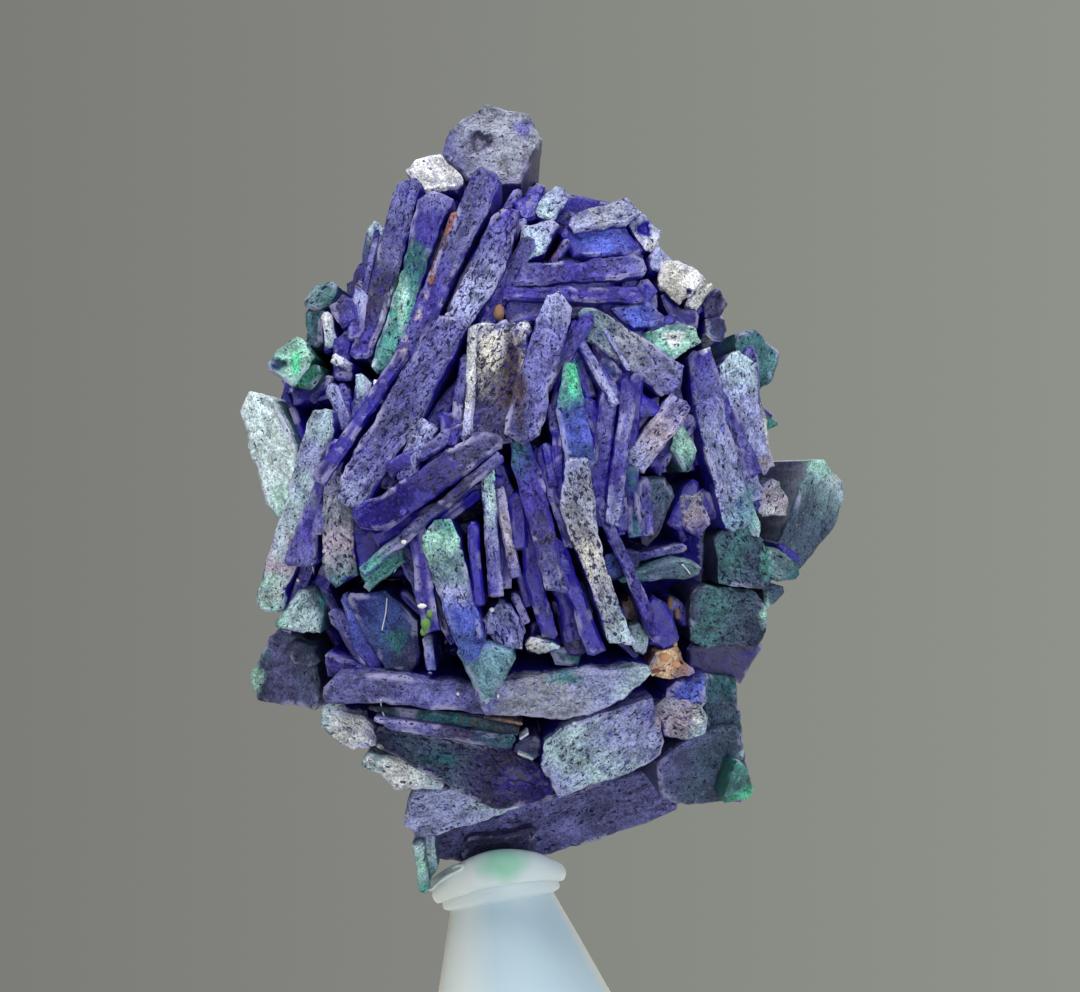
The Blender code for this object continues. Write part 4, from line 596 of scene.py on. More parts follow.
def band(start: int, sides: int) -> list[tuple[int, ...]]:
    """Faces between a closed row of points and the next row, from the row's first number."""
    faces = []
    for side in range(sides):
        following = (side + 1) % sides
        faces.append((start + side, start + sides + side, start + sides + following, start + following))
    return faces


# Looks of the small crystals in the gaps.
SHARD_LOOKS = (
    Look((T.ULTRA, T.VIOLET), 0.35, 0.3),
    Look((T.VIOLET, T.LAVENDER), 0.7, 0.5),
    Look((T.NAVY, T.ULTRA), 0.3, 0.2),
    Look((T.LILAC, T.VIOLET), 0.8, 0.5),
    Look((T.SLATE, T.STEEL), 0.8, 0.4, T.NAVY),
)

# First seeds of the back crystals and of the small ones.
BACK_SEEDS = 5000
SHARD_SEEDS = 9000


class Rings(NamedTuple):
    """A crystal before it is meshed: the outline of its face, that face's normal, and its root way."""

    face: list[Vector]
    outward: Vector
    inward: Vector


@dataclass
class Ball:
    """The ball's surface and the front view that its crystals were read from, in millimetres."""

    centre: Vector = field(default_factory=lambda: Vector((-3.89, -0.4, 39.0)))
    half: Vector = field(default_factory=lambda: Vector((14.6, 13.0, 19.6)))
    reach: Vector = field(default_factory=lambda: Vector((11.9, 12.2, 15.6)))
    core: Vector = field(default_factory=lambda: Vector((10.5, 10.4, 13.8)))
    view_distance: float = 450.0
    view_aim: Vector = field(default_factory=lambda: Vector((2.0, 0.0, -1.3)))
    face_ease: float = 0.55
    face_steepest: float = 0.85
    root_taper: float = 0.86
    root_spread: float = 0.5
    edge_room: float = 0.13

    def depth(self, x: float, z: float) -> tuple[float, float, float]:
        """Depth of the ball's surface in front of its middle, and its slopes, at a front reading."""
        room = max(self.edge_room, 1 - (x / self.half.x) ** 2 - (z / self.half.z) ** 2)
        root = math.sqrt(room)
        slopes = []
        for place, half in ((x, self.half.x), (z, self.half.z)):
            slope = self.half.y * place / (half ** 2 * root) * self.face_ease
            slopes.append(max(-self.face_steepest, min(self.face_steepest, slope)))
        return -self.half.y * root, slopes[0], slopes[1]

    def seen_outline(self, outline: list[tuple[float, float]], lift: float, depth: float) -> Rings:
        """Lay an outline of the front view on its own flat face of the ball.

        Args:
            outline: Points as x and z in millimetres.
            lift: How far the face stands out of the ball's surface.
            depth: How far the crystal goes in.

        Returns:
            The crystal's face ring, normal and root way.
        """
        mid_x = sum(x for x, z in outline) / len(outline)
        mid_z = sum(z for x, z in outline) / len(outline)
        surface, slope_x, slope_z = self.depth(mid_x, mid_z)
        outward = Vector((slope_x, -1.0, slope_z)).normalized()
        inward = Vector((-self.root_spread * mid_x / self.half.x, 1.0,
                         -self.root_spread * mid_z / self.half.z)) * depth
        eye = Vector((self.view_aim.x, -self.view_distance, self.view_aim.z))
        near = 1 + (surface - lift) / self.view_distance
        anchor = eye + (Vector((mid_x, 0.0, mid_z)) - eye) * near
        face = []
        for x, z in outline:
            ray = Vector((x, 0.0, z)) - eye
            face.append(eye + ray * ((anchor - eye).dot(outward) / ray.dot(outward)))
        return Rings(face, outward, inward)

    def front_place(self, points: np.ndarray) -> np.ndarray:
        """Where the front view shows points, as x and z in the readings' millimetres."""
        ratio = self.view_distance / (self.view_distance + points[:, 1])
        x = self.view_aim.x + (points[:, 0] - self.view_aim.x) * ratio
        z = self.view_aim.z + (points[:, 2] - self.view_aim.z) * ratio
        return np.stack((x, z), axis=1)

    def inside_outline(self, point: Vector) -> bool:
        """Whether the front view shows a point inside the crystals' whole outline."""
        x, z = self.front_place(np.array([point]))[0]
        inside = False
        for (x1, z1), (x2, z2) in zip(SILHOUETTE, SILHOUETTE[1:] + SILHOUETTE[:1]):
            if (z1 > z) != (z2 > z) and x < x1 + (x2 - x1) * (z - z1) / (z2 - z1):
                inside = not inside
        return inside


# Ends of a blade, as shares of its width: a point, a slant and a nipped corner.
POINT_BACK = 0.5
POINT_OVER = 0.12
SLANT_BACK = 0.7
NIP_RIGHT = 0.15
NIP_MIDDLE = 0.45
NIP_LEFT = 0.1


def strip_outline(tip: tuple, root: tuple, wide: float, ends: str) -> list[tuple[float, float]]:
    """Outline of a blade between two points.

    Args:
        tip: One end, as two coordinates.
        root: The other end.
        wide: Width of the blade.
        ends: Form of the tip and of the root: f flat, n nipped, p pointed, a or b slanted.

    Returns:
        The outline's points in order.
    """
    along = (Vector(tip) - Vector(root)).normalized()
    across = Vector((-along.y, along.x)) * wide / 2
    points = []
    for middle, way, kind in ((Vector(tip), 1.0, ends[0]), (Vector(root), -1.0, ends[1])):
        back = along * wide * way
        left = middle + across * way
        right = middle - across * way
        if kind == "p":
            points += [right - back * POINT_BACK, middle + back * POINT_OVER,
                       left - back * POINT_BACK]
        elif kind == "a":
            points += [right - back * SLANT_BACK, left]
        elif kind == "b":
            points += [right, left - back * SLANT_BACK]
        elif kind == "f":
            points += [right, left]
        else:
            points += [right - back * NIP_RIGHT, middle + (right - middle) * NIP_MIDDLE,
                       left - back * NIP_LEFT]
    return [(point.x, point.y) for point in points]


@dataclass
class Books:
    """Side and back crystals, which grow in books of near-parallel blades."""

    seed: int = 41
    count: int = 38
    blades: tuple[int, int] = (2, 3)
    length: tuple[float, float] = (6.0, 11.0)
    width: tuple[float, float] = (1.5, 3.0)
    gap: float = 0.35
    lift: tuple[float, float] = (-0.8, 1.2)
    depth: float = 5.0
    front_limit: float = -0.30
    foot_limit: float = -0.84
    tuck: float = 0.35
    tucks: int = 9
    shorten: float = 0.88
    lean: float = 0.75
    slide: float = 3.0
    half: float = 0.9
    tips: str = "fapb"
    roots: str = "faf"
    ledge_level: float = -0.45
    ledge_turn: float = 1.35
    ledge_lean: float = 0.35
    draws: int = 6

    def rings(self, ball: Ball) -> list[Rings]:
        """Place every side and back crystal, always the same.

        Args:
            ball: The surface that they reach.

        Returns:
            One set of rings for each crystal.
        """
        chance = random.Random(self.seed)
        found = []
        total = self.count * 2
        for index in range(total):
            spot = golden_way(index, total)
            turn = chance.uniform(-1.0, 1.0)
            count = chance.choice(self.blades)
            spread = [chance.random() for _ in range(self.draws * max(self.blades))]
            if spot.y < self.front_limit or spot.z < self.foot_limit:
                continue
            found += self.book(ball, spot, turn, count, spread)
        return found

    def book(self, ball: Ball, spot: Vector, turn: float, count: int, spread: list) -> list[Rings]:
        """Place the blades of one book around a spot of the unit ball.

        Args:
            ball: The surface that they reach.
            spot: Where the book stands, on a ball of radius 1.
            turn: How the book lies, between -1 and 1.
            count: How many blades it has.
            spread: Six draws for each blade.

        Returns:
            The rings of the blades that stay inside the front outline.
        """
        on_ball = Vector((spot.x * ball.reach.x, spot.y * ball.reach.y, spot.z * ball.reach.z))
        normal = Vector((spot.x / ball.reach.x, spot.y / ball.reach.y,
                         spot.z / ball.reach.z)).normalized()
        upright = (Vector((0, 0, 1)) - normal * normal.z).normalized()
        level = spot.z <= self.ledge_level
        lean = turn * self.ledge_lean + self.ledge_turn if level else turn * self.lean
        along = Matrix.Rotation(lean, 3, normal) @ upright
        across = normal.cross(along)
        place = 0.0
        found = []
        for blade in range(count):
            draw = spread[self.draws * blade:self.draws * (blade + 1)]
            long = self.length[0] + (self.length[1] - self.length[0]) * draw[0]
            wide = self.width[0] + (self.width[1] - self.width[0]) * draw[1] ** 2
            lift = self.lift[0] + (self.lift[1] - self.lift[0]) * draw[2]
            slide = (draw[3] - 0.5) * self.slide
            ends = (self.tips[int(draw[4] * len(self.tips))]
                    + self.roots[int(draw[5] * len(self.roots))])
            outline = strip_outline((long / 2 + slide, 0.0), (-long / 2 + slide, 0.0), wide, ends)
            centre = on_ball + across * (place + wide / 2 - count * self.half) + normal * lift
            place += wide + self.gap
            for tuck in range(self.tucks):
                middle = centre * (1 - self.tuck * tuck / centre.length)
                face = [middle + along * u * self.shorten ** tuck + across * v for u, v in outline]
                rings = Rings(face, normal, normal * -self.depth)
                if all(ball.inside_outline(point) for point in self.corners(rings, ball)):
                    found.append(rings)
                    break
        return found

    def corners(self, rings: Rings, ball: Ball) -> list[Vector]:
        """Corners and edge middles of a crystal, at its face and at its root."""
        middle = sum(rings.face, Vector()) / len(rings.face)
        root = [middle + (point - middle) * ball.root_taper + rings.inward for point in rings.face]
        halfway = [(upper + lower) / 2 for upper, lower in zip(rings.face, root)]
        corners = []
        for ring in (rings.face, root, halfway):
            corners += ring + [(point + ring[number - 1]) / 2 for number, point in enumerate(ring)]
        return corners


@dataclass
class Pile:
    """Points, faces and per-point looks that are gathered into one mesh."""

    points: list = field(default_factory=list)
    faces: list = field(default_factory=list)
    tone: list = field(default_factory=list)
    side: list = field(default_factory=list)
    marks: list = field(default_factory=list)
    grain: list = field(default_factory=list)
    total: int = 0

    def add(self, points: np.ndarray, faces: list, tone: np.ndarray, side: np.ndarray,
            marks: np.ndarray, grain: np.ndarray) -> None:
        """Add one crystal.

        Args:
            points: Points in millimetres from the ball's middle, n by 3.
            faces: Faces as tuples of point numbers.
            tone: Colour of the dusty cover at each point, n by 3, linear.
            side: Colour of the clean crystal at each point, n by 3, linear.
            marks: Cover, pits, and edge wear that also carries a painted edge highlight, at each point, n by
                3.
            grain: Place along, across and into the crystal at each point, n by 3.
        """
        start = self.total
        self.points.append(points)
        self.faces += [tuple(start + number for number in one) for one in faces]
        self.tone.append(tone)
        self.side.append(side)
        self.marks.append(marks)
        self.grain.append(grain)
        self.total += len(points)

    def build(self, name: str, origin: Vector, sharp: float = 32.0) -> bpy.types.Object:
        """Make the gathered mesh into an object.

        Args:
            name: Name of the piece.
            origin: The ball's middle in millimetres.
            sharp: Angle in degrees above which an edge stays crisp.

        Returns:
            The linked object.
        """
        points = (np.concatenate(self.points) + np.array(origin)) * MM
        mesh = bpy.data.meshes.new(name)
        mesh.from_pydata(points.tolist(), [], self.faces)
        for label, parts, kind, key in (("tone", self.tone, "FLOAT_COLOR", "color"),
                                        ("side", self.side, "FLOAT_COLOR", "color"),
                                        ("marks", self.marks, "FLOAT_COLOR", "color"),
                                        ("grain", self.grain, "FLOAT_VECTOR", "vector")):
            values = np.concatenate(parts)
            if kind == "FLOAT_COLOR":
                values = np.hstack((values, np.ones((len(values), 1))))
            layer = mesh.attributes.new(label, kind, "POINT")
            layer.data.foreach_set(key, values.astype(np.float32).ravel())
        mesh.shade_smooth()
        mesh.set_sharp_from_angle(angle=math.radians(sharp))
        mesh.update()
        piece = bpy.data.objects.new(name, mesh)
        bpy.context.scene.collection.objects.link(piece)
        return piece


@dataclass
class CrystalCutter:
    """Turns a crystal's rings into a fine, weathered mesh. Sizes in millimetres."""

    spacing: float = 0.17
    row_step: float = 0.87
    edge_room: float = 0.55
    end_room: float = 0.6
    chamfer: float = 0.16
    chamfer_share: float = 0.16
    widest: float = 3.0
    chip: float = 0.24
    chip_rate: float = 1.3
    chip_from: float = 0.05
    chip_levels: tuple[float, ...] = (1.0, 0.35)
    # Edge marks at each wall level: worn bloom together with a painted highlight.
    edge_wear_and_glint_levels: tuple[float, ...] = (1.0, 0.25)
    wave: float = 0.10
    wave_rate: float = 0.8
    etch: float = 0.12
    etch_rate: float = 1.9
    etch_from: float = 0.12
    etch_steep: float = 9.0
    etch_least: float = 0.35
    fine: float = 0.045
    fine_rate: float = 3.6
    fine_least: float = 0.4
    stretch: float = 0.55
    wobble: float = 0.15
    wobble_rate: float = 0.7
    jag: float = 0.07
    jag_rate: float = 2.6
    full_width: float = 1.5
    noise_reach: float = 60.0
    roll: float = math.radians(11)
    pitch: float = math.radians(4)
    nip: float = 0.3
    sharpest: float = math.radians(85)
    mitre: float = 0.35
    levels: tuple[float, ...] = (0.12, 0.3, 0.55, 0.85, 1.2, 1.65, 2.3)
    deepest: float = 0.8
    groove: float = 0.045
    groove_rates: tuple[float, float] = (0.12, 3.2)
    cover_top: float = 0.85
    cover_lit: float = 0.1
    cover_fade: float = 1.5
    cover_kept: float = 1.15
    tone_rate: float = 0.9
    tone_sway: float = 0.16
    # Painted shade on the clean sides: darkening per millimetre of depth, and the least share kept.
    depth_painted_shade: float = 0.20
    depth_shade_floor: float = 0.5

    def offset(self, points: list[Vector], by: float) -> list[Vector]:
        """Move a flat outline inward by the same distance all round.

        Args:
            points: The outline, as 2-D vectors, anticlockwise.
            by: The distance.

        Returns:
            The smaller outline.
        """
        moved = []
        count = len(points)
        for number, point in enumerate(points):
            before = (point - points[number - 1]).normalized()
            after = (points[(number + 1) % count] - point).normalized()
            first = Vector((-before.y, before.x))
            second = Vector((-after.y, after.x))
            moved.append(point + (first + second) * by / max(self.mitre, 1 + first.dot(second)))
        return moved

    def cut(self, pile: Pile, rings: Rings, look: Look, taper: float, seed: int,
            coarse: float = 1.0) -> None:
        """Mesh one crystal and add it to a pile.

        Args:
            pile: Where it goes.
            rings: Its face ring, normal and root way.
            look: Its tones, dust and pits.
            taper: How much smaller its root is than its face.
            seed: Number that its wear and pattern follow.
            coarse: Factor on the spacing of its points.
        """
        chance = random.Random(seed)
        step = self.spacing * coarse
        middle = sum(rings.face, Vector()) / len(rings.face)
        normal = rings.outward
        along = self.long_axis(rings.face, normal)
        across = normal.cross(along)
        flat = [Vector(((p - middle).dot(along), (p - middle).dot(across))) for p in rings.face]
        tilt = Matrix.Rotation(chance.uniform(-self.roll, self.roll), 3, along)
        tilt = Matrix.Rotation(chance.uniform(-self.pitch, self.pitch), 3, across) @ tilt
        if sum(a.x * b.y - a.y * b.x for a, b in zip(flat, flat[1:] + flat[:1])) < 0:
            flat.reverse()
        flat = self.blunt(flat)
        along, across, normal = tilt @ along, tilt @ across, tilt @ normal
        narrow = min(self.width_of(flat), self.widest)
        chamfer = min(self.chamfer, self.chamfer_share * narrow)
        inner = self.offset(flat, chamfer)
        outline, inset = [], []
        shift = Vector([chance.uniform(-self.noise_reach, self.noise_reach) for _ in range(3)])
        for number, start in enumerate(flat):
            end = flat[(number + 1) % len(flat)]
            pieces = max(1, round((end - start).length / step))
            for piece in range(pieces):
                part = piece / pieces
                spot = start.lerp(end, part)
                stray = self.stray(spot, shift, narrow)
                outline.append(spot + stray)
                inset.append(inner[number].lerp(inner[(number + 1) % len(flat)], part) + stray)
        points, faces, marks, grain = [], [], [], []
        edge = self.add_face(points, faces, marks, grain, inset, step, shift, look)
        face_total = len(points)
        self.add_walls(points, faces, marks, grain, outline, edge, rings, taper, shift, look,
                       (middle, along, across))
        placed = np.array(points, dtype=float)
        frame3 = np.array([along, across, normal])
        placed[:face_total] = placed[:face_total] @ frame3 + np.array(middle)
        tone, side = self.colours(np.array(grain), look, shift, flat)
        moved = np.array(grain) + np.array(shift)
        pile.add(placed, faces, tone, side, np.array(marks), moved)

    def blunt(self, points: list[Vector]) -> list[Vector]:
        """Cut off the sharp corners of an outline, which a natural crystal doesn't keep.

        Args:
            points: The outline.

        Returns:
            The outline with two points for each sharp one.
        """
        kept = []
        for number, point in enumerate(points):
            before = point - points[number - 1]
            after = points[(number + 1) % len(points)] - point
            if before.angle(after) < self.sharpest:
                kept.append(point)
                continue
            kept.append(point - before.normalized() * min(self.nip, before.length / 3))
            kept.append(point + after.normalized() * min(self.nip, after.length / 3))
        return kept

    def stray(self, spot: Vector, shift: Vector, narrow: float) -> Vector:
        """How far a point of a grown edge strays from the straight line."""
        place = Vector((spot.x, spot.y, 0.0)) + shift
        most = min(1.0, narrow / self.full_width)
        slow = noise.noise_vector(place * self.wobble_rate) * self.wobble
        quick = noise.noise_vector(place * self.jag_rate) * self.jag
        return (slow + quick).to_2d() * most

    def long_axis(self, ring: list[Vector], normal: Vector) -> Vector:
        """Direction between the two corners of a ring that are furthest apart.

        Args:
            ring: The corners.
            normal: The ring's normal, which the direction is square to.

        Returns:
            The direction, pointing up.
        """
        best = Vector((0, 0, 1))
        length = 0.0
        for number, first in enumerate(ring):
            for second in ring[number + 1:]:
                if (first - second).length > length:
                    length = (first - second).length
                    best = first - second
        best = (best - normal * best.dot(normal)).normalized()
        return best if best.z >= 0 else -best

    def width_of(self, flat: list[Vector]) -> float:
        """Extent of a flat outline across its long axis."""
        return max(point.y for point in flat) - min(point.y for point in flat)

    def relief(self, u: float, v: float, shift: Vector, look: Look) -> float:
        """Height of the weathered face over its plane, at a place on it."""
        place = Vector((u * self.stretch, v, 0.0)) + shift
        wave = noise.noise(place * self.wave_rate) * self.wave
        etched = noise.noise(place * self.etch_rate + Vector((7.0, 3.0, 1.0)))
        sunk = max(0.0, min(1.0, (etched - self.etch_from) * self.etch_steep))
        fine = noise.noise(place * self.fine_rate) * self.fine
        return (wave - self.etch * sunk * (self.etch_least + look.pits)
                + fine * (self.fine_least + look.pits))

    def add_face(self, points: list, faces: list, marks: list, grain: list, inset: list[Vector],
                 step: float, shift: Vector, look: Look) -> list[int]:
        """Fill the flat face with an even web of points, sunk where it is etched.

        Args:
            points: Points so far, as along, across and out.
            faces: Faces so far.
            marks: Cover, pits, and edge wear with painted edge highlight so far.
            grain: Pattern places so far.
            inset: The face's edge.
            step: Spacing of the points.
            shift: Place of this crystal in the noise.
            look: Its dust and pits.

        Returns:
            The numbers of the points along the face's edge.
        """
        edge = list(inset)
        low_x = min(p.x for p in edge)
        high_x = max(p.x for p in edge)
        low_y = min(p.y for p in edge)
        high_y = max(p.y for p in edge)
        fill = []
        rows = int((high_y - low_y) / (step * self.row_step)) + 1
        columns = int((high_x - low_x) / step) + 1
        for row in range(rows):
            y = low_y + (row + 0.5) * step * self.row_step
            for column in range(columns):
                x = low_x + (column + 0.5 * (row % 2) + 0.25) * step
                spot = Vector((x, y))
                if self.clear_inside(spot, edge, step * self.edge_room):
                    fill.append(spot)
        count = len(edge)
        loop = [(number, (number + 1) % count) for number in range(count)]
        web = geometry.delaunay_2d_cdt(edge + fill, loop, [], 1, 1e-6)
        for spot, sources in zip(web[0], web[3]):
            on_edge = any(source < count for source in sources)
            rise = 0.0 if on_edge else self.relief(spot.x, spot.y, shift, look)
            points.append((spot.x, spot.y, rise))
            marks.append((look.dust, look.pits, 1.0 if on_edge else 0.0))
            grain.append((spot.x, spot.y, 0.0))
        faces += [tuple(one) for one in web[2]]
        return [next(number for number, sources in enumerate(web[3]) if source in sources)
                for source in range(count)]

    def clear_inside(self, spot: Vector, edge: list[Vector], margin: float) -> bool:
        """Whether a spot lies inside an outline, clear of its edge.

        Args:
            spot: The spot.
            edge: The outline.
            margin: How far clear it has to be.

        Returns:
            True if it does.
        """
        inside = False
        for first, second in zip(edge, edge[1:] + edge[:1]):
            way = second - first
            length = way.length
            if length < 1e-9:
                continue
            off = (way.x * (spot.y - first.y) - way.y * (spot.x - first.x)) / length
            part = (spot - first).dot(way) / (length * length)
            if abs(off) < margin and -self.end_room < part < 1 + self.end_room:
                return False
            if (first.y > spot.y) != (second.y > spot.y):
                cross = first.x + (second.x - first.x) * (spot.y - first.y) / (second.y - first.y)
                if spot.x < cross:
                    inside = not inside
        return inside

    def add_walls(self, points: list, faces: list, marks: list, grain: list, outline: list[Vector],
                  last: list[int], rings: Rings, taper: float, shift: Vector, look: Look,
                  axes: tuple[Vector, ...]) -> None:
        """Add the chamfer, the sides with their growth grooves, and the hidden root.

        Args:
            points: Points so far; wall points are added in place, in millimetres.
            faces: Faces so far.
            marks: Cover, pits, and edge wear with painted edge highlight so far.
            grain: Pattern places so far.
            outline: The crystal's full outline.
            last: Numbers of the points along the edge of its face.
            rings: Its face ring, normal and root way.
            taper: How much smaller its root is.
            shift: Place of this crystal in the noise.
            look: Its dust and pits.
            axes: Middle, long axis and cross axis.
        """
        middle, along, across = axes
        total = rings.inward.length
        count = len(outline)
        run = [0.0]
        for number in range(1, count):
            run.append(run[-1] + (outline[number] - outline[number - 1]).length)
        facing = []
        for number in range(count):
            edge = outline[(number + 1) % count] - outline[number - 1]
            out = (along * edge.y - across * edge.x).normalized()
            facing.append(max(0.0, out.z))
        depths = [depth for depth in self.levels if depth < total * self.deepest] + [total]
        for level, depth in enumerate(depths):
            share = depth / total
            chip = self.chip_levels[level] if level < len(self.chip_levels) else 0.0
            wear = self.edge_wear_and_glint_levels[level] if level < len(self.edge_wear_and_glint_levels) else 0.0
            now = []
            for number, spot in enumerate(outline):
                way = spot.normalized()
                pull = 1 - (1 - taper) * share
                nick = noise.noise(Vector((run[number] * self.chip_rate, 0.0, 0.0)) + shift)
                worn = max(0.0, nick - self.chip_from) * self.chip * chip
                ridge = noise.noise(Vector((run[number] * self.groove_rates[0], 0.0,
                                            depth * self.groove_rates[1])) + shift) * self.groove
                reach = spot * pull - way * (worn - ridge * (0 if level == 0 else 1))
                here = middle + along * reach.x + across * reach.y + rings.inward * share
                now.append(len(points))
                points.append(tuple(here))
                fade = self.cover_fade - self.cover_kept * facing[number]
                cover = self.cover_top + self.cover_lit * facing[number] - depth * fade
                marks.append((look.dust * max(0.0, cover), look.pits, wear))
                grain.append((spot.x, spot.y, -depth))
            for number in range(count):
                following = (number + 1) % count
                faces.append((last[number], now[number], now[following], last[following]))
            last = now
        points.append(tuple(middle + rings.inward))
        marks.append((0.0, 0.0, 0.0))
        grain.append((0.0, 0.0, -total))
        hub = len(points) - 1
        for number in range(count):
            faces.append((last[number], hub, last[(number + 1) % count]))

    def colours(self, grain: np.ndarray, look: Look, shift: Vector,
                flat: list[Vector]) -> tuple[np.ndarray, np.ndarray]:
        """Blend a crystal's tones from its top to its bottom.

        Args:
            grain: Its points' places along, across and into it.
            look: Its tones.
            shift: Its place in the noise.
            flat: Its flat outline.

        Returns:
            The dusty tone, and the clean side colour with painted shade that darkens it deeper in, at each
            point.
        """
        top = max(point.x for point in flat)
        bottom = min(point.x for point in flat)
        tones = np.array([linear(tone.value) for tone in look.tones])
        stray = np.array([noise.noise(Vector(row) * self.tone_rate + shift) for row in grain.tolist()])
        share = (top - grain[:, 0]) / max(0.01, top - bottom) + stray * self.tone_sway
        place = np.clip(share, 0.0, 1.0) * (len(tones) - 1)
        lower = np.minimum(place.astype(int), len(tones) - 2) if len(tones) > 1 else place.astype(int)
        part = np.clip(place - lower, 0.0, 1.0)
        part = (part * part * (3 - 2 * part))[:, None]
        upper = np.minimum(lower + 1, len(tones) - 1)
        tone = tones[lower] * (1 - part) + tones[upper] * part
        # Painted shade: the clean side colour darkens deeper into the crystal, down to a floor.
        deep = np.clip(1.0 + grain[:, 2] * self.depth_painted_shade, self.depth_shade_floor, 1.0)[:, None]
        side = np.array(linear(look.side.value))[None, :] * deep
        return tone, side


def node(tree: bpy.types.NodeTree, kind: str, settings: dict | None = None,
         inputs: dict | None = None) -> bpy.types.Node:
    """Add a node with its settings and links.

    Args:
        tree: The node tree.
        kind: The node's type name.
        settings: Properties of the node to set.
        inputs: Input name or number to a value, or to the output socket to link.

    Returns:
        The new node.
    """
    made = tree.nodes.new(kind)
    for name, value in (settings or {}).items():
        setattr(made, name, value)
    for name, value in (inputs or {}).items():
        if isinstance(value, bpy.types.NodeSocket):
            tree.links.new(value, made.inputs[name])
        else:
            made.inputs[name].default_value = value
    return made


def new_material(name: str) -> tuple[bpy.types.Material, bpy.types.NodeTree, bpy.types.Node]:
    """Make a material with one Principled shader and return it, its tree and the shader."""
    material = bpy.data.materials.new(name)
    material.use_nodes = True
    tree = material.node_tree
    return material, tree, tree.nodes["Principled BSDF"]


@dataclass(frozen=True)
class AzuriteFinish:
    """Natural azurite: glassy deep-blue sides, and faces under a mottled, pitted dusty bloom.

    The bloom hides most of the blue on the outward faces, with dark etched pits that let
    the deep blue through; the clean sides keep a soft glassy shine.
    """

    name: str = "natural_azurite_weathered"
    ior: float = 1.75
    clean_rough: float = 0.36
    dusty_rough: float = 0.78
    grain_mm: float = 0.10
    speck_mm: float = 0.17
    crust_mm: float = 0.30
    smoke_mm: float = 0.75
    patch_mm: float = 1.6
    bump_mm: float = 0.06
    edge: str = "#b9b6e2"
    bright_blue: str = "#2c18c4"
    pit_blue: str = "#120c3c"

    def build(self) -> bpy.types.Material:
        """Make the material."""
        material, tree, shader = new_material(self.name)
        grain = node(tree, "ShaderNodeAttribute", {"attribute_name": "grain"}).outputs["Vector"]
        tone = node(tree, "ShaderNodeAttribute", {"attribute_name": "tone"}).outputs["Color"]
        side = node(tree, "ShaderNodeAttribute", {"attribute_name": "side"}).outputs["Color"]
        marks = node(tree, "ShaderNodeAttribute", {"attribute_name": "marks"}).outputs["Color"]
        split = node(tree, "ShaderNodeSeparateColor", {}, {0: marks})
        cover, pits, edge = (split.outputs[number] for number in range(3))
        drawn = node(tree, "ShaderNodeVectorMath", {"operation": "MULTIPLY"},
                     {0: grain, 1: (0.62, 1.0, 1.0)}).outputs[0]
        fine = self.noise(tree, grain, self.grain_mm, 2.0, 0.6, 0.0)
        speck = self.noise(tree, drawn, self.speck_mm, 2.0, 0.62, 0.5)
        crust = self.noise(tree, grain, self.crust_mm, 3.0, 0.7, 0.3)
        patch = self.noise(tree, grain, self.patch_mm, 3.0, 0.55, 0.4)
        smoke = self.noise(tree, drawn, self.smoke_mm, 2.0, 0.6, 0.6)
        # Grains of the bloom, light and dark, about an eighth of a millimetre across.
        lit = self.ramp(tree, fine, 0.34, 0.66, 0.58, 1.36)
        lit = self.maths(tree, "MULTIPLY", lit, self.ramp(tree, smoke, 0.34, 0.66, 0.62, 1.30))
        dusty = self.mix(tree, "MULTIPLY", 1.0, tone, self.grey(tree, lit))
        pale = self.mix(tree, "ADD", 1.0, self.mix(tree, "MULTIPLY", 1.0, tone, (1.5, 1.5, 1.4, 1.0)),
                        (0.035, 0.035, 0.04, 1.0))
        dusty = self.mix(tree, "MIX", self.ramp(tree, crust, 0.54, 0.70, 0.0, 0.75), dusty, pale)
        dusty = self.mix(tree, "MIX", self.ramp(tree, crust, 0.30, 0.47, 0.62, 0.0), dusty, side)
        # Etched pits, longer along the crystal, that show the dark inside.
        depth = self.maths(tree, "SUBTRACT", self.maths(tree, "MULTIPLY_ADD", pits, 0.10, 0.34), speck)
        dark = self.ramp(tree, depth, 0.0, 0.04, 0.0, 1.0)
        glow = self.mix(tree, "MIX", self.ramp(tree, patch, 0.5, 0.72, 0.0, 0.36), side,
                        (*linear(self.bright_blue), 1.0))
        glow = self.mix(tree, "MULTIPLY", 1.0, glow, self.grey(tree, self.ramp(
            tree, crust, 0.3, 0.7, 0.55, 1.4)))
        seen = self.maths(tree, "MULTIPLY_ADD", self.maths(tree, "SUBTRACT", patch, 0.5), 1.5, cover)
        seen = self.maths(tree, "MULTIPLY_ADD", self.maths(tree, "SUBTRACT", crust, 0.5), 1.2, seen)
        mask = self.ramp(tree, seen, 0.40, 0.66, 0.0, 1.0)
        colour = self.mix(tree, "MIX", mask, glow, dusty)
        # Pale edges: partly worn bloom, partly a painted highlight along the crystal edges.
        worn = self.maths(tree, "MULTIPLY", edge, self.ramp(tree, patch, 0.50, 0.64, 0.0, 0.55))
        colour = self.mix(tree, "MIX", worn, colour, (*linear(self.edge), 1.0))
        colour = self.mix(tree, "MIX", self.maths(tree, "MULTIPLY", dark, self.ramp(
            tree, mask, 0.0, 1.0, 0.25, 0.9)), colour, (*linear(self.pit_blue), 1.0))
        tree.links.new(colour, shader.inputs["Base Color"])
        rough = self.ramp(tree, mask, 0.0, 1.0, self.clean_rough, self.dusty_rough)
        tree.links.new(rough, shader.inputs["Roughness"])
        tree.links.new(self.ramp(tree, mask, 0.0, 1.0, 0.5, 0.12), shader.inputs["Specular IOR Level"])
        height = self.maths(tree, "MULTIPLY_ADD", dark, -1.1, self.maths(tree, "MULTIPLY_ADD", fine, 0.5,
                                                                        crust))
        bump = node(tree, "ShaderNodeBump", {}, {"Height": height, "Distance": self.bump_mm * MM,
                                                 "Strength": 1.0})
        tree.links.new(bump.outputs[0], shader.inputs["Normal"])
        shader.inputs["IOR"].default_value = self.ior
        shader.inputs["Metallic"].default_value = 0.0
        return material

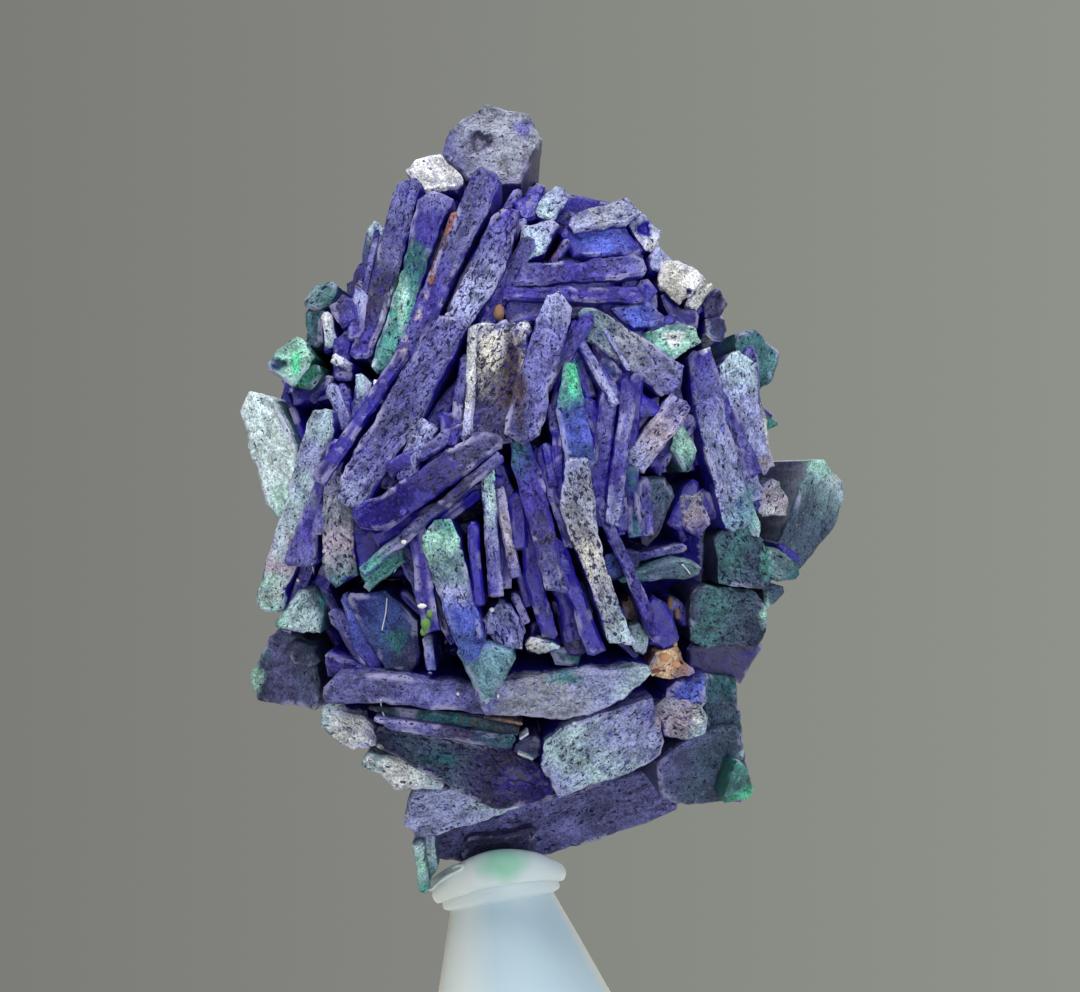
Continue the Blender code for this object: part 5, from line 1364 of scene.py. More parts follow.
    def noise(self, tree: bpy.types.NodeTree, vector: bpy.types.NodeSocket, size: float,
              detail: float, rough: float, bend: float) -> bpy.types.NodeSocket:
        """A noise pattern of a real size in millimetres."""
        made = node(tree, "ShaderNodeTexNoise", {}, {"Vector": vector, "Scale": 1 / size,
                                                     "Detail": detail, "Roughness": rough,
                                                     "Distortion": bend})
        return made.outputs[0]

    def maths(self, tree: bpy.types.NodeTree, kind: str, first: object, second: object = 0.0,
              third: object = 0.0) -> bpy.types.NodeSocket:
        """One sum of up to three values."""
        return node(tree, "ShaderNodeMath", {"operation": kind}, {0: first, 1: second, 2: third}).outputs[0]

    def ramp(self, tree: bpy.types.NodeTree, value: bpy.types.NodeSocket, low: float, high: float,
             start: float, end: float) -> bpy.types.NodeSocket:
        """A smooth step of a value from one range to another."""
        made = node(tree, "ShaderNodeMapRange", {"interpolation_type": "SMOOTHSTEP"},
                    {0: value, 1: low, 2: high, 3: start, 4: end})
        return made.outputs[0]

    def grey(self, tree: bpy.types.NodeTree, value: bpy.types.NodeSocket) -> bpy.types.NodeSocket:
        """A grey of the given value."""
        return node(tree, "ShaderNodeCombineColor", {}, {0: value, 1: value, 2: value}).outputs[0]

    def mix(self, tree: bpy.types.NodeTree, kind: str, share: object, first: object,
            second: object) -> bpy.types.NodeSocket:
        """Mix two colours."""
        return node(tree, "ShaderNodeMix", {"data_type": "RGBA", "blend_type": kind},
                    {0: share, 6: first, 7: second}).outputs[2]


@dataclass(frozen=True)
class MilkyPlasticFinish:
    """Moulded low-density polyethylene: milky, lit from within, with a satin skin."""

    name: str = "moulded_polyethylene_milky"
    roughness: float = 0.36
    ior: float = 1.51
    scatter: float = 0.35
    scatter_mm: float = 1.6

    def build(self) -> bpy.types.Material:
        """Make the material, whose colour the holder's own points carry."""
        material, tree, shader = new_material(self.name)
        tone = node(tree, "ShaderNodeAttribute", {"attribute_name": "tone"}).outputs["Color"]
        tree.links.new(tone, shader.inputs["Base Color"])
        shader.inputs["Roughness"].default_value = self.roughness
        shader.inputs["IOR"].default_value = self.ior
        shader.inputs["Subsurface Weight"].default_value = self.scatter
        shader.inputs["Subsurface Radius"].default_value = (1.0, 1.1, 1.15)
        shader.inputs["Subsurface Scale"].default_value = self.scatter_mm * MM
        return material


@dataclass(frozen=True)
class FloorFinish:
    """Pale matte backdrop paper under the specimen."""

    name: str = "pale_backdrop_paper"
    colour: str = "#c9cac6"

    def build(self) -> bpy.types.Material:
        """Make the material."""
        material, _, shader = new_material(self.name)
        shader.inputs["Base Color"].default_value = (*linear(self.colour), 1.0)
        shader.inputs["Roughness"].default_value = 0.9
        return material


@dataclass
class Holder:
    """The milky cone with its rolled lip, which the specimen's foot sits in. Sizes in millimetres."""

    rim: Vector = field(default_factory=lambda: Vector((-0.15, 0.4, -20.15)))
    lean_right: float = math.radians(10.4)
    slope: float = math.tan(math.radians(19.2))
    lip_radius: float = 2.85
    lip_roll: float = 0.55
    bead_radius: float = 2.72
    bead_roll: float = 0.26
    bead_drop: float = 1.15
    neck_radius: float = 2.62
    neck_drop: float = 1.45
    mouth_floor: float = 1.4
    mouth_wall: float = 2.05
    floor_round: float = 0.35
    mouth_depth: float = 1.5
    collar_rise: float = 1.55
    collar_ease: float = 1.5
    gap: float = 0.3
    length: float = 24.0
    cone_rows: int = 24
    sides: int = 200
    dents: tuple[float, float] = (0.006, 0.004)
    dents_above: float = -3.0
    foot_room: float = 0.02
    sharp: float = math.radians(50)
    below_all: float = -99.0
    blue: str = "#c3dbe8"
    milk: str = "#e2ecee"
    cream: str = "#e4e2d8"
    green: str = "#84d0ae"
    green_patch: Vector = field(default_factory=lambda: Vector((0.5, 0.0, -19.5)))

    def matrix(self, ball: Ball) -> Matrix:
        """The turn and place of the holder's axis, in millimetres."""
        turn = Matrix.Rotation(-self.lean_right, 4, "Y")
        return Matrix.Translation(ball.centre + self.rim) @ turn

    def rise(self, y: object, height: object) -> object:
        """How far the collar's front stands up at a place on it."""
        front = np.maximum(0.0, -y / (self.lip_radius + self.lip_roll)) ** self.collar_ease
        return self.collar_rise * front * np.clip(1 + height / self.neck_drop, 0.0, 1.0)

    def arc(self, radius: float, drop: float, roll: float, start: float, end: float,
            steps: int) -> list[tuple[float, float]]:
        """Points of a round lip or bead, as radius and height, between two angles in degrees."""
        points = []
        for step in range(steps + 1):
            angle = math.radians(start + (end - start) * step / steps)
            points.append((radius + roll * math.cos(angle), -drop + roll * math.sin(angle)))
        return points

    def profile(self) -> list[tuple[float, float]]:
        """Half section of the holder, from the middle of its mouth out and down."""
        profile = [(0.0, -self.mouth_depth), (self.mouth_floor, -self.mouth_depth),
                   (self.mouth_wall, -self.mouth_depth + self.floor_round)]
        profile += self.arc(self.lip_radius, self.lip_roll, self.lip_roll, 180, -50, 22)
        profile += self.arc(self.bead_radius, self.bead_drop, self.bead_roll, 40, -50, 8)
        for step in range(self.cone_rows):
            drop = self.neck_drop + (self.length - self.neck_drop) * step / (self.cone_rows - 1)
            profile.append((self.neck_radius + self.slope * (drop - self.neck_drop), -drop))
        return profile

    def build(self, ball: Ball) -> bpy.types.Object:
        """Turn the profile about the leaning axis and flatten it at the foot.

        Args:
            ball: The crystals' ball, which the holder is placed by.

        Returns:
            The holder's piece.
        """
        place = self.matrix(ball)
        points, faces = [], []
        profile = self.profile()
        for row, (radius, height) in enumerate(profile):
            for side in range(self.sides):
                angle = 2 * math.pi * side / self.sides
                dent = 1 + self.dents[0] * math.sin(3 * angle + height)
                dent += self.dents[1] * math.sin(7 * angle - height * 2)
                wide = radius * (dent if height > self.dents_above else 1)
                y = wide * math.sin(angle)
                spot = place @ Vector((wide * math.cos(angle), y, height + self.rise(y, height)))
                if spot.z < self.foot_room and row > 0:
                    upper = Vector(points[(row - 1) * self.sides + side]) / MM
                    part = min(1.0, max(0.0, upper.z / max(1e-6, upper.z - spot.z)))
                    spot = upper.lerp(spot, part) if upper.z > 1e-4 else upper
                points.append(tuple(spot * MM))
        for row in range(len(profile) - 1):
            faces += band(row * self.sides, self.sides)
        faces.append(tuple((len(profile) - 1) * self.sides + side for side in range(self.sides)))
        mesh = bpy.data.meshes.new("holder_cone")
        mesh.from_pydata(points, [], faces)
        layer = mesh.attributes.new("tone", "FLOAT_COLOR", "POINT")
        tones = [self.tone(Vector(point) / MM - ball.centre) for point in points]
        layer.data.foreach_set("color", np.array(tones, dtype=np.float32).ravel())
        mesh.shade_smooth()
        mesh.set_sharp_from_angle(angle=self.sharp)
        mesh.update()
        piece = bpy.data.objects.new("holder_cone", mesh)
        bpy.context.scene.collection.objects.link(piece)
        return piece

    def tone(self, point: Vector) -> tuple[float, float, float, float]:
        """Colour of the plastic: blue in the middle, milky at the left and cream at the side edges as painted
        light through the translucent plastic, milky on the lip, and one green patch.

        Args:
            point: The point, in millimetres from the ball's middle.

        Returns:
            Its colour, with full cover.
        """
        local = Matrix.Rotation(self.lean_right, 4, "Y") @ (point - self.rim)
        across = local.x / max(0.5, math.hypot(local.x, local.y))
        cloud = noise.noise(point * 0.35) * 0.5 + noise.noise(point * 1.4) * 0.2
        # Painted light: a milky band on the left and cream at both side edges stand for light shining through
        # the thin plastic.
        left = np.clip((-0.2 - across + cloud * 0.4) * 2.0, 0.0, 1.0)
        edge = np.clip((abs(across) - 0.9) * 12.0, 0.0, 1.0) * 0.8
        colour = np.array(linear(self.blue)) * (1 - left) + np.array(linear(self.milk)) * left
        colour = colour * (1 - edge) + np.array(linear(self.cream)) * edge
        lip = np.clip((point.z - self.rim.z + 1.6) / 1.2, 0.0, 1.0)
        colour = colour * (1 - lip * 0.7) + np.array(linear(self.milk)) * lip * 0.7
        # A green patch on the front of the plastic.
        off = math.hypot((point.x - self.green_patch.x) / 1.1, (point.z - self.green_patch.z) / 0.95)
        if point.y < 0:
            green_patch = np.clip((1.35 - off + cloud * 1.2) * 1.2, 0.0, 0.85)
            colour = colour * (1 - green_patch) + np.array(linear(self.green)) * green_patch
        return (*colour.tolist(), 1.0)

    def clear(self, pile: Pile, ball: Ball) -> None:
        """Push crystal points up off the lip and mouth, so that the foot sits in the holder.

        Args:
            pile: The crystals, whose points are moved in place.
            ball: The ball that they belong to.
        """
        back = self.matrix(ball).inverted()
        turn = np.array(back.to_3x3())
        move = np.array(back.translation)
        up = np.array((self.matrix(ball).to_3x3() @ Vector((0, 0, 1))))
        for block in pile.points:
            local = (block + np.array(ball.centre)) @ turn.T + move
            radius = np.hypot(local[:, 0], local[:, 1])
            roll = self.lip_roll + self.gap
            off = np.abs(radius - self.lip_radius)
            lip = -self.lip_roll + np.sqrt(np.maximum(0.0, roll ** 2 - off ** 2))
            lip += self.rise(local[:, 1], lip)
            top = np.where(off < roll, lip,
                           np.where(radius < self.lip_radius, -self.mouth_depth + self.gap, self.below_all))
            low = np.maximum(0.0, top - local[:, 2])
            block += up[None, :] * low[:, None]


@dataclass
class Cluster:
    """The ball of crystals."""

    ball: Ball
    cutter: CrystalCutter
    books: Books = field(default_factory=Books)
    shard_seed: int = 77
    shard_count: int = 420
    shard_long: tuple[float, float] = (1.6, 3.6)
    shard_wide: tuple[float, float] = (0.3, 0.9)
    spot_full: float = 0.6
    ragged: tuple[float, float] = (0.2, 0.12)
    shard_way: Vector = field(default_factory=lambda: Vector((0.3, 0.2, 1)))
    shard_low: float = -0.9
    shard_rise: float = 1.0
    shard_lean: float = 0.3
    shard_fan: float = 1.6
    shard_deep: float = 2.6
    shard_taper: float = 0.8
    full_turn: float = 6.283
    front_sink: tuple[float, float] = (1.3, 2.7)
    back_sink: tuple[float, float] = (0.5, 1.7)
    book_sink: float = 0.3
    beside_chance: float = 0.8
    beside_wide: tuple[float, float] = (0.35, 0.95)
    beside_long: tuple[float, float] = (0.45, 0.9)
    beside_drop: tuple[float, float] = (0.3, 1.2)
    beside_low: float = -8.6
    beside_long_from: float = 1.2
    beside_slide: float = 0.7
    beside_lean: float = 0.16
    beside_off: tuple[float, float] = (0.92, 0.3)
    beside_root: float = 0.7
    beside_taper: float = 0.9
    coarse: tuple[float, float, float] = (1.3, 1.35, 1.7)
    back_bias: float = 1.35
    middle_web: tuple[int, int] = (72, 96)
    middle_share: float = 0.965
    middle_lumps: tuple[tuple[float, float], ...] = ((0.06, 9.0), (0.05, 24.0))
    middle_marks: tuple[float, float, float] = (0.45, 0.8, 0.0)
    spot_edge: float = 1.25

    def front(self, name: str, rows: tuple, holder: Holder) -> bpy.types.Object:
        """Mesh one group of front crystals.

        Args:
            name: Name of the piece.
            rows: The group's crystals.
            holder: The holder that they keep clear of.

        Returns:
            The piece.
        """
        pile = Pile()
        for row in rows:
            outline = list(row.outline) if isinstance(row, Facet) else strip_outline(
                row.tip, row.root, row.wide, row.ends)
            rings = self.ball.seen_outline(outline, row.lift, row.depth)
            seed = sum(ord(letter) * (place + 1) for place, letter in enumerate(row.name))
            self.cutter.cut(pile, rings, row.look, self.ball.root_taper, seed)
            self.grow_beside(pile, rings, seed)
        self.paint(pile)
        holder.clear(pile, self.ball)
        return pile.build(name, self.ball.centre)

    def paint(self, pile: Pile) -> None:
        """Lay the spots of the front view on a pile's crystals.

        Args:
            pile: The crystals; their tones and cover change in place.
        """
        for number, block in enumerate(pile.points):
            seen = self.ball.front_place(block)
            for spot in SPOTS:
                right = (seen[:, 0] - spot.x) / spot.wide
                up = (seen[:, 1] - spot.z) / spot.high
                turn = np.arctan2(up, right)
                ragged = 1 + self.ragged[0] * np.sin(3 * turn + spot.x * 5)
                ragged += self.ragged[1] * np.sin(7 * turn + spot.z * 9)
                off = np.hypot(right, up) / ragged
                if off.min() > self.spot_edge:
                    continue
                share = np.clip((self.spot_edge - off) / (self.spot_edge - self.spot_full), 0.0, 1.0)[:, None]
                colour = np.array(linear(spot.tone.value))
                pile.tone[number] = pile.tone[number] * (1 - share) + colour * share
                marks = pile.marks[number]
                marks[:, :1] = marks[:, :1] * (1 - share) + spot.cover * share
                block[:, 1] += spot.sunk * share[:, 0]

    def grow_beside(self, pile: Pile, rings: Rings, seed: int) -> None:
        """Add the thin, lower blades that grow along both sides of a long crystal.

        Args:
            pile: Where they go.
            rings: The long crystal.
            seed: Its number.
        """
        chance = random.Random(seed + 300)
        middle = sum(rings.face, Vector()) / len(rings.face)
        along = self.cutter.long_axis(rings.face, rings.outward)
        across = rings.outward.cross(along)
        half_long = max(abs((point - middle).dot(along)) for point in rings.face)
        half_wide = max(abs((point - middle).dot(across)) for point in rings.face)
        if half_long < self.beside_long_from * half_wide or middle.z < self.beside_low:
            return
        for way in (-1.0, 1.0):
            draw = [chance.random() for _ in range(7)]
            if draw[0] > self.beside_chance:
                continue
            wide = self.between(self.beside_wide, draw[1])
            long = half_long * self.between(self.beside_long, draw[2])
            drop = self.between(self.beside_drop, draw[3])
            slide = (draw[4] - 0.5) * half_long * self.beside_slide
            lean = (draw[5] - 0.5) * self.beside_lean * half_long
            off = way * (half_wide * self.beside_off[0] + wide * self.beside_off[1])
            outline = strip_outline((slide + long, off + lean), (slide - long, off - lean), wide, "pn")
            face = [middle + along * u + across * v - rings.outward * drop for u, v in outline]
            beside = Rings(face, rings.outward, rings.inward * self.beside_root)
            if not all(self.ball.inside_outline(point) for point in self.books.corners(beside, self.ball)):
                continue
            kind = BESIDE_LOOKS[int(draw[6] * len(BESIDE_LOOKS))]
            self.cutter.cut(pile, beside, kind, self.beside_taper, seed + int(way), self.coarse[0])

    def between(self, ends: tuple[float, float], share: float) -> float:
        """The value at a share of the way between two ends."""
        return ends[0] + (ends[1] - ends[0]) * share

    def back(self, holder: Holder) -> list[bpy.types.Object]:
        """Mesh the side and back crystals.

        Args:
            holder: The holder that they keep clear of.

        Returns:
            Two pieces, right and left.
        """
        piles = (Pile(), Pile())
        chance = random.Random(self.books.seed + 1)
        for number, found in enumerate(self.books.rings(self.ball)):
            face = [point - found.outward * self.book_sink for point in found.face]
            rings = found._replace(face=face)
            look = BACK_LOOKS[int(chance.random() ** self.back_bias * len(BACK_LOOKS))]
            middle = sum(rings.face, Vector()) / len(rings.face)
            pile = piles[0 if middle.x >= 0 else 1]
            self.cutter.cut(pile, rings, look, self.ball.root_taper, BACK_SEEDS + number,
                            self.coarse[1])
        names = ("crystals_back_right", "crystals_back_left")
        for pile in piles:
            holder.clear(pile, self.ball)
        return [pile.build(name, self.ball.centre) for pile, name in zip(piles, names)]

    def shards(self, holder: Holder) -> bpy.types.Object:
        """Mesh the small crystals that fill the gaps between the large ones.

        Args:
            holder: The holder that they keep clear of.

        Returns:
            The piece.
        """
        chance = random.Random(self.shard_seed)
        pile = Pile()
        for index in range(self.shard_count):
            spot = golden_way(index, self.shard_count)
            draw = [chance.random() for _ in range(8)]
            if spot.z < self.shard_low:
                continue
            reach = self.ball.reach
            if spot.y < 0:
                reach = Vector((reach.x, self.ball.half.y, self.ball.reach.z + self.shard_rise))
            on_ball = Vector((spot.x * reach.x, spot.y * reach.y, spot.z * reach.z))
            normal = Vector((spot.x / reach.x, spot.y / reach.y, spot.z / reach.z)).normalized()
            tangent = (self.shard_way - normal * normal.dot(self.shard_way)).normalized()
            tangent = Matrix.Rotation(draw[0] * self.full_turn, 3, normal) @ tangent
            outward = (normal + tangent * (draw[1] - self.shard_lean) * self.shard_fan).normalized()
            long = self.between(self.shard_long, draw[2])
            wide = self.between(self.shard_wide, draw[3])
            along = (tangent - outward * tangent.dot(outward)).normalized()
            across = outward.cross(along)
            sink = self.between(self.front_sink if spot.y < 0 else self.back_sink, draw[4])
            middle = on_ball - normal * sink
            outline = strip_outline((long / 2, 0.0), (-long / 2, 0.0), wide, "pf")
            face = [middle + along * u + across * v for u, v in outline]
            if not all(self.ball.inside_outline(point) for point in face):
                continue
            look = SHARD_LOOKS[int(draw[5] * len(SHARD_LOOKS))]
            self.cutter.cut(pile, Rings(face, outward, outward * -self.shard_deep), look,
                            self.shard_taper, SHARD_SEEDS + index, self.coarse[2])
        holder.clear(pile, self.ball)
        return pile.build("crystals_small", self.ball.centre)

    def middle(self) -> bpy.types.Object:
        """The rough middle that all the crystals grow from, seen only in the deepest gaps."""
        pile = Pile()
        points = []
        ways, faces = globe(*self.middle_web)
        for way in ways:
            swell = self.middle_share
            for rise, rate in self.middle_lumps:
                swell += rise * noise.noise(way * rate)
            points.append((way.x * self.ball.core.x * swell, way.y * self.ball.core.y * swell,
                           way.z * self.ball.core.z * swell))
        placed = np.array(points)
        count = len(placed)
        tone = np.tile(np.array(linear(Tone.VIOLET.value)), (count, 1))
        side = np.tile(np.array(linear(Tone.NAVY.value)), (count, 1))
        marks = np.tile(np.array(self.middle_marks), (count, 1))
        pile.add(placed, faces, tone, side, marks, placed.copy())
        return pile.build("crystal_middle", self.ball.centre)


class Matter(Enum):
    """What lies on the crystals: its colour and roughness."""

    CLAY = ("dry_salmon_clay", "#cf9a72", 0.95)
    RUST = ("dry_red_clay", "#8e4f44", 0.95)
    EARTH = ("dry_tan_earth", "#8d6d54", 0.95)
    MOSS = ("dry_green_crumbs", "#5d8a4a", 0.9)
    CHALK = ("white_mineral_grains", "#e4e6ea", 0.7)
    COTTON = ("white_cotton_lint", "#dbe6ee", 0.6)
    MILK = ("moulded_polyethylene_bright", "#d4e0e4", 0.35)

    def build(self) -> bpy.types.Material:
        """Make the matte material."""
        name, colour, rough = self.value
        material, _, shader = new_material(name)
        shader.inputs["Base Color"].default_value = (*linear(colour), 1.0)
        shader.inputs["Roughness"].default_value = rough
        return material


class Crumb(NamedTuple):
    """A crumb on the front: its place, half width and half height in millimetres."""

    matter: Matter
    x: float
    z: float
    wide: float
    high: float


class Thread(NamedTuple):
    """A lint fibre or ridge on the front: the places that it passes and its radius."""

    matter: Matter
    path: tuple[tuple[float, float], ...]
    radius: float = 0.028


M = Matter
CRUMBS = (
    Crumb(M.CLAY, 8.2, -9.35, 0.3, 0.2), Crumb(M.CLAY, 8.8, -9.7, 0.22, 0.16),
    Crumb(M.CLAY, 8.75, -8.75, 0.12, 0.16), Crumb(M.RUST, 7.75, -10.05, 0.3, 0.1),
    Crumb(M.EARTH, -0.05, 7.85, 0.28, 0.42), Crumb(M.EARTH, 1.05, -6.35, 0.2, 0.38),
    Crumb(M.EARTH, 8.5, -6.65, 0.16, 0.3), Crumb(M.EARTH, 8.85, -7.15, 0.14, 0.3),
    Crumb(M.MOSS, -3.7, -7.7, 0.24, 0.3), Crumb(M.MOSS, -3.5, -7.2, 0.16, 0.2),
    Crumb(M.MOSS, -3.85, -8.1, 0.14, 0.18), Crumb(M.CHALK, -3.9, -6.8, 0.22, 0.12),
    Crumb(M.CHALK, -10.1, -5.5, 0.09, 0.09), Crumb(M.CHALK, -4.8, -3.6, 0.14, 0.1),
    Crumb(M.CHALK, 3.7, -12.65, 0.12, 0.08), Crumb(M.CHALK, -2.1, -11.2, 0.08, 0.08),
    Crumb(M.CHALK, -0.4, -7.0, 0.14, 0.12), Crumb(M.CHALK, -2.7, -8.6, 0.07, 0.09),
    Crumb(M.CHALK, -3.5, -10.15, 0.1, 0.07), Crumb(M.CHALK, -0.1, -11.3, 0.07, 0.1),
)
THREADS = (
    Thread(M.COTTON, ((-6.0, -5.4), (-5.6, -5.5), (-5.0, -5.5))),
    Thread(M.COTTON, ((-5.3, -4.7), (-5.15, -4.9), (-5.3, -5.1))),
    Thread(M.COTTON, ((-5.65, -6.4), (-5.7, -7.1), (-5.9, -8.0))),
    Thread(M.COTTON, ((-5.95, -11.5), (-5.95, -11.9), (-5.8, -12.3)), 0.035),
    Thread(M.COTTON, ((1.85, -12.5), (1.95, -12.75), (2.0, -13.0))),
    Thread(M.COTTON, ((9.1, -4.7), (9.3, -4.9), (9.5, -5.2))),
    Thread(M.COTTON, ((-9.4, -4.7), (-9.3, -5.2))),
)
LIP_LOOP = Thread(M.MILK, ((-3.55, -20.9), (-3.35, -20.5), (-2.8, -20.1), (-2.1, -19.8), (-1.75, -19.75),
                           (-1.85, -19.95), (-2.5, -20.25), (-3.0, -20.6), (-3.3, -20.95),
                           (-3.5, -21.05), (-3.55, -20.9)), 0.1)


@dataclass
class Debris:
    """Clay, crumbs and lint that rest on what the front view shows."""

    ball: Ball
    rings: int = 10
    sides: int = 16
    rough: float = 0.28
    lumps: float = 2.2
    step: float = 0.12
    thread_sides: int = 8
    eases: int = 3

    def seen(self, pieces: list[bpy.types.Object]) -> BVHTree:
        """A search tree of all the pieces' faces, in millimetres from the ball's middle."""
        points, faces = [], []
        for piece in pieces:
            start = len(points)
            centre = self.ball.centre
            points += [vertex.co / MM - centre for vertex in piece.data.vertices]
            faces += [[start + corner for corner in face.vertices] for face in piece.data.polygons]
        return BVHTree.FromPolygons(points, faces)

    def touch(self, tree: BVHTree, x: float, z: float) -> tuple[Vector, Vector]:
        """The point and normal that the front view shows at a place."""
        eye = Vector((self.ball.view_aim.x, -self.ball.view_distance, self.ball.view_aim.z))
        way = (Vector((x, 0.0, z)) - eye).normalized()
        spot, normal = tree.ray_cast(eye, way)[:2]
        if spot is None:
            return Vector((x, 0.0, z)), Vector((0, -1, 0))
        return spot, normal if normal.dot(way) < 0 else -normal

    def crumb(self, tree: BVHTree, crumb: Crumb) -> tuple[list, list]:
        """Shape one rough crumb, half sunk into the surface.

        Args:
            tree: The surface.
            crumb: The crumb.

        Returns:
            Its points and faces.
        """
        spot = self.touch(tree, crumb.x, crumb.z)[0]
        seed = Vector((crumb.x * 3.1, crumb.z * 2.7, 0.0))
        deep = min(crumb.wide, crumb.high)
        ways, faces = globe(self.rings, self.sides)
        points = []
        for number, way in enumerate(ways):
            pole = number // self.sides in (0, self.rings)
            swell = 1.0 if pole else 1 + self.rough * noise.noise(way * self.lumps + seed)
            points.append(spot + Vector((way.x * crumb.wide, way.y * deep, way.z * crumb.high)) * swell)
        return points, faces

    def thread(self, tree: BVHTree, thread: Thread) -> tuple[list, list]:
        """Shape one thread that lies on the surface.

        Args:
            tree: The surface.
            thread: The thread.

        Returns:
            Its points and faces.
        """
        route = []
        for first, second in zip(thread.path, thread.path[1:]):
            pieces = max(1, round(math.dist(first, second) / self.step))
            route += [Vector(first).lerp(Vector(second), part / pieces) for part in range(pieces)]
        route.append(Vector(thread.path[-1]))
        middle = []
        for place in route:
            spot, normal = self.touch(tree, place.x, place.y)
            middle.append(spot + normal * thread.radius * 0.5)
        for _ in range(self.eases):
            middle = [middle[0]] + [(a + b * 2 + c) / 4 for a, b, c in
                                    zip(middle, middle[1:], middle[2:])] + [middle[-1]]
        points, faces = [], []
        sides = self.thread_sides
        for number, place in enumerate(middle):
            ahead = middle[min(number + 1, len(middle) - 1)] - middle[max(number - 1, 0)]
            ahead = ahead.normalized() if ahead.length > 1e-6 else Vector((1, 0, 0))
            up = Vector((0, -1, 0)).cross(ahead).normalized()
            out = ahead.cross(up)
            for side in range(sides):
                turn = 2 * math.pi * side / sides
                points.append(place + (up * math.cos(turn) + out * math.sin(turn)) * thread.radius)
        for number in range(len(middle) - 1):
            for side in range(sides):
                following = (side + 1) % sides
                faces.append((number * sides + side, number * sides + following,
                              (number + 1) * sides + following, (number + 1) * sides + side))
        last = (len(middle) - 1) * sides
        faces.append(tuple(range(sides - 1, -1, -1)))
        faces.append(tuple(last + side for side in range(sides)))
        return points, faces

    def build(self, pieces: list[bpy.types.Object], crumbs: tuple, threads: tuple,
              name: str) -> list[bpy.types.Object]:
        """Make one piece of each kind of matter.

        Args:
            pieces: What the matter lies on.
            crumbs: The crumbs.
            threads: The threads.
            name: First part of the pieces' names.

        Returns:
            The new pieces.
        """
        tree = self.seen(pieces)
        parts = [(row.matter, self.crumb(tree, row)) for row in crumbs]
        parts += [(row.matter, self.thread(tree, row)) for row in threads]
        made = []
        for matter in Matter:
            points, faces = [], []
            for kind, (more, quads) in parts:
                if kind is matter:
                    faces += [tuple(len(points) + number for number in one) for one in quads]
                    points += more
            if not points:
                continue
            mesh = bpy.data.meshes.new(name)
            mesh.from_pydata([tuple((point + self.ball.centre) * MM) for point in points], [], faces)
            mesh.shade_smooth()
            self.weld(mesh)
            mesh.materials.append(matter.build())
            piece = bpy.data.objects.new(f"{name}_{matter.name.lower()}", mesh)
            bpy.context.scene.collection.objects.link(piece)
            made.append(piece)
        return made

    def weld(self, mesh: bpy.types.Mesh) -> None:
        """Join the points that meet at the ends of each crumb, so that it is closed."""
        work = bmesh.new()
        work.from_mesh(mesh)
        bmesh.ops.remove_doubles(work, verts=work.verts, dist=1e-9)
        bmesh.ops.recalc_face_normals(work, faces=work.faces)
        work.to_mesh(mesh)
        work.free()


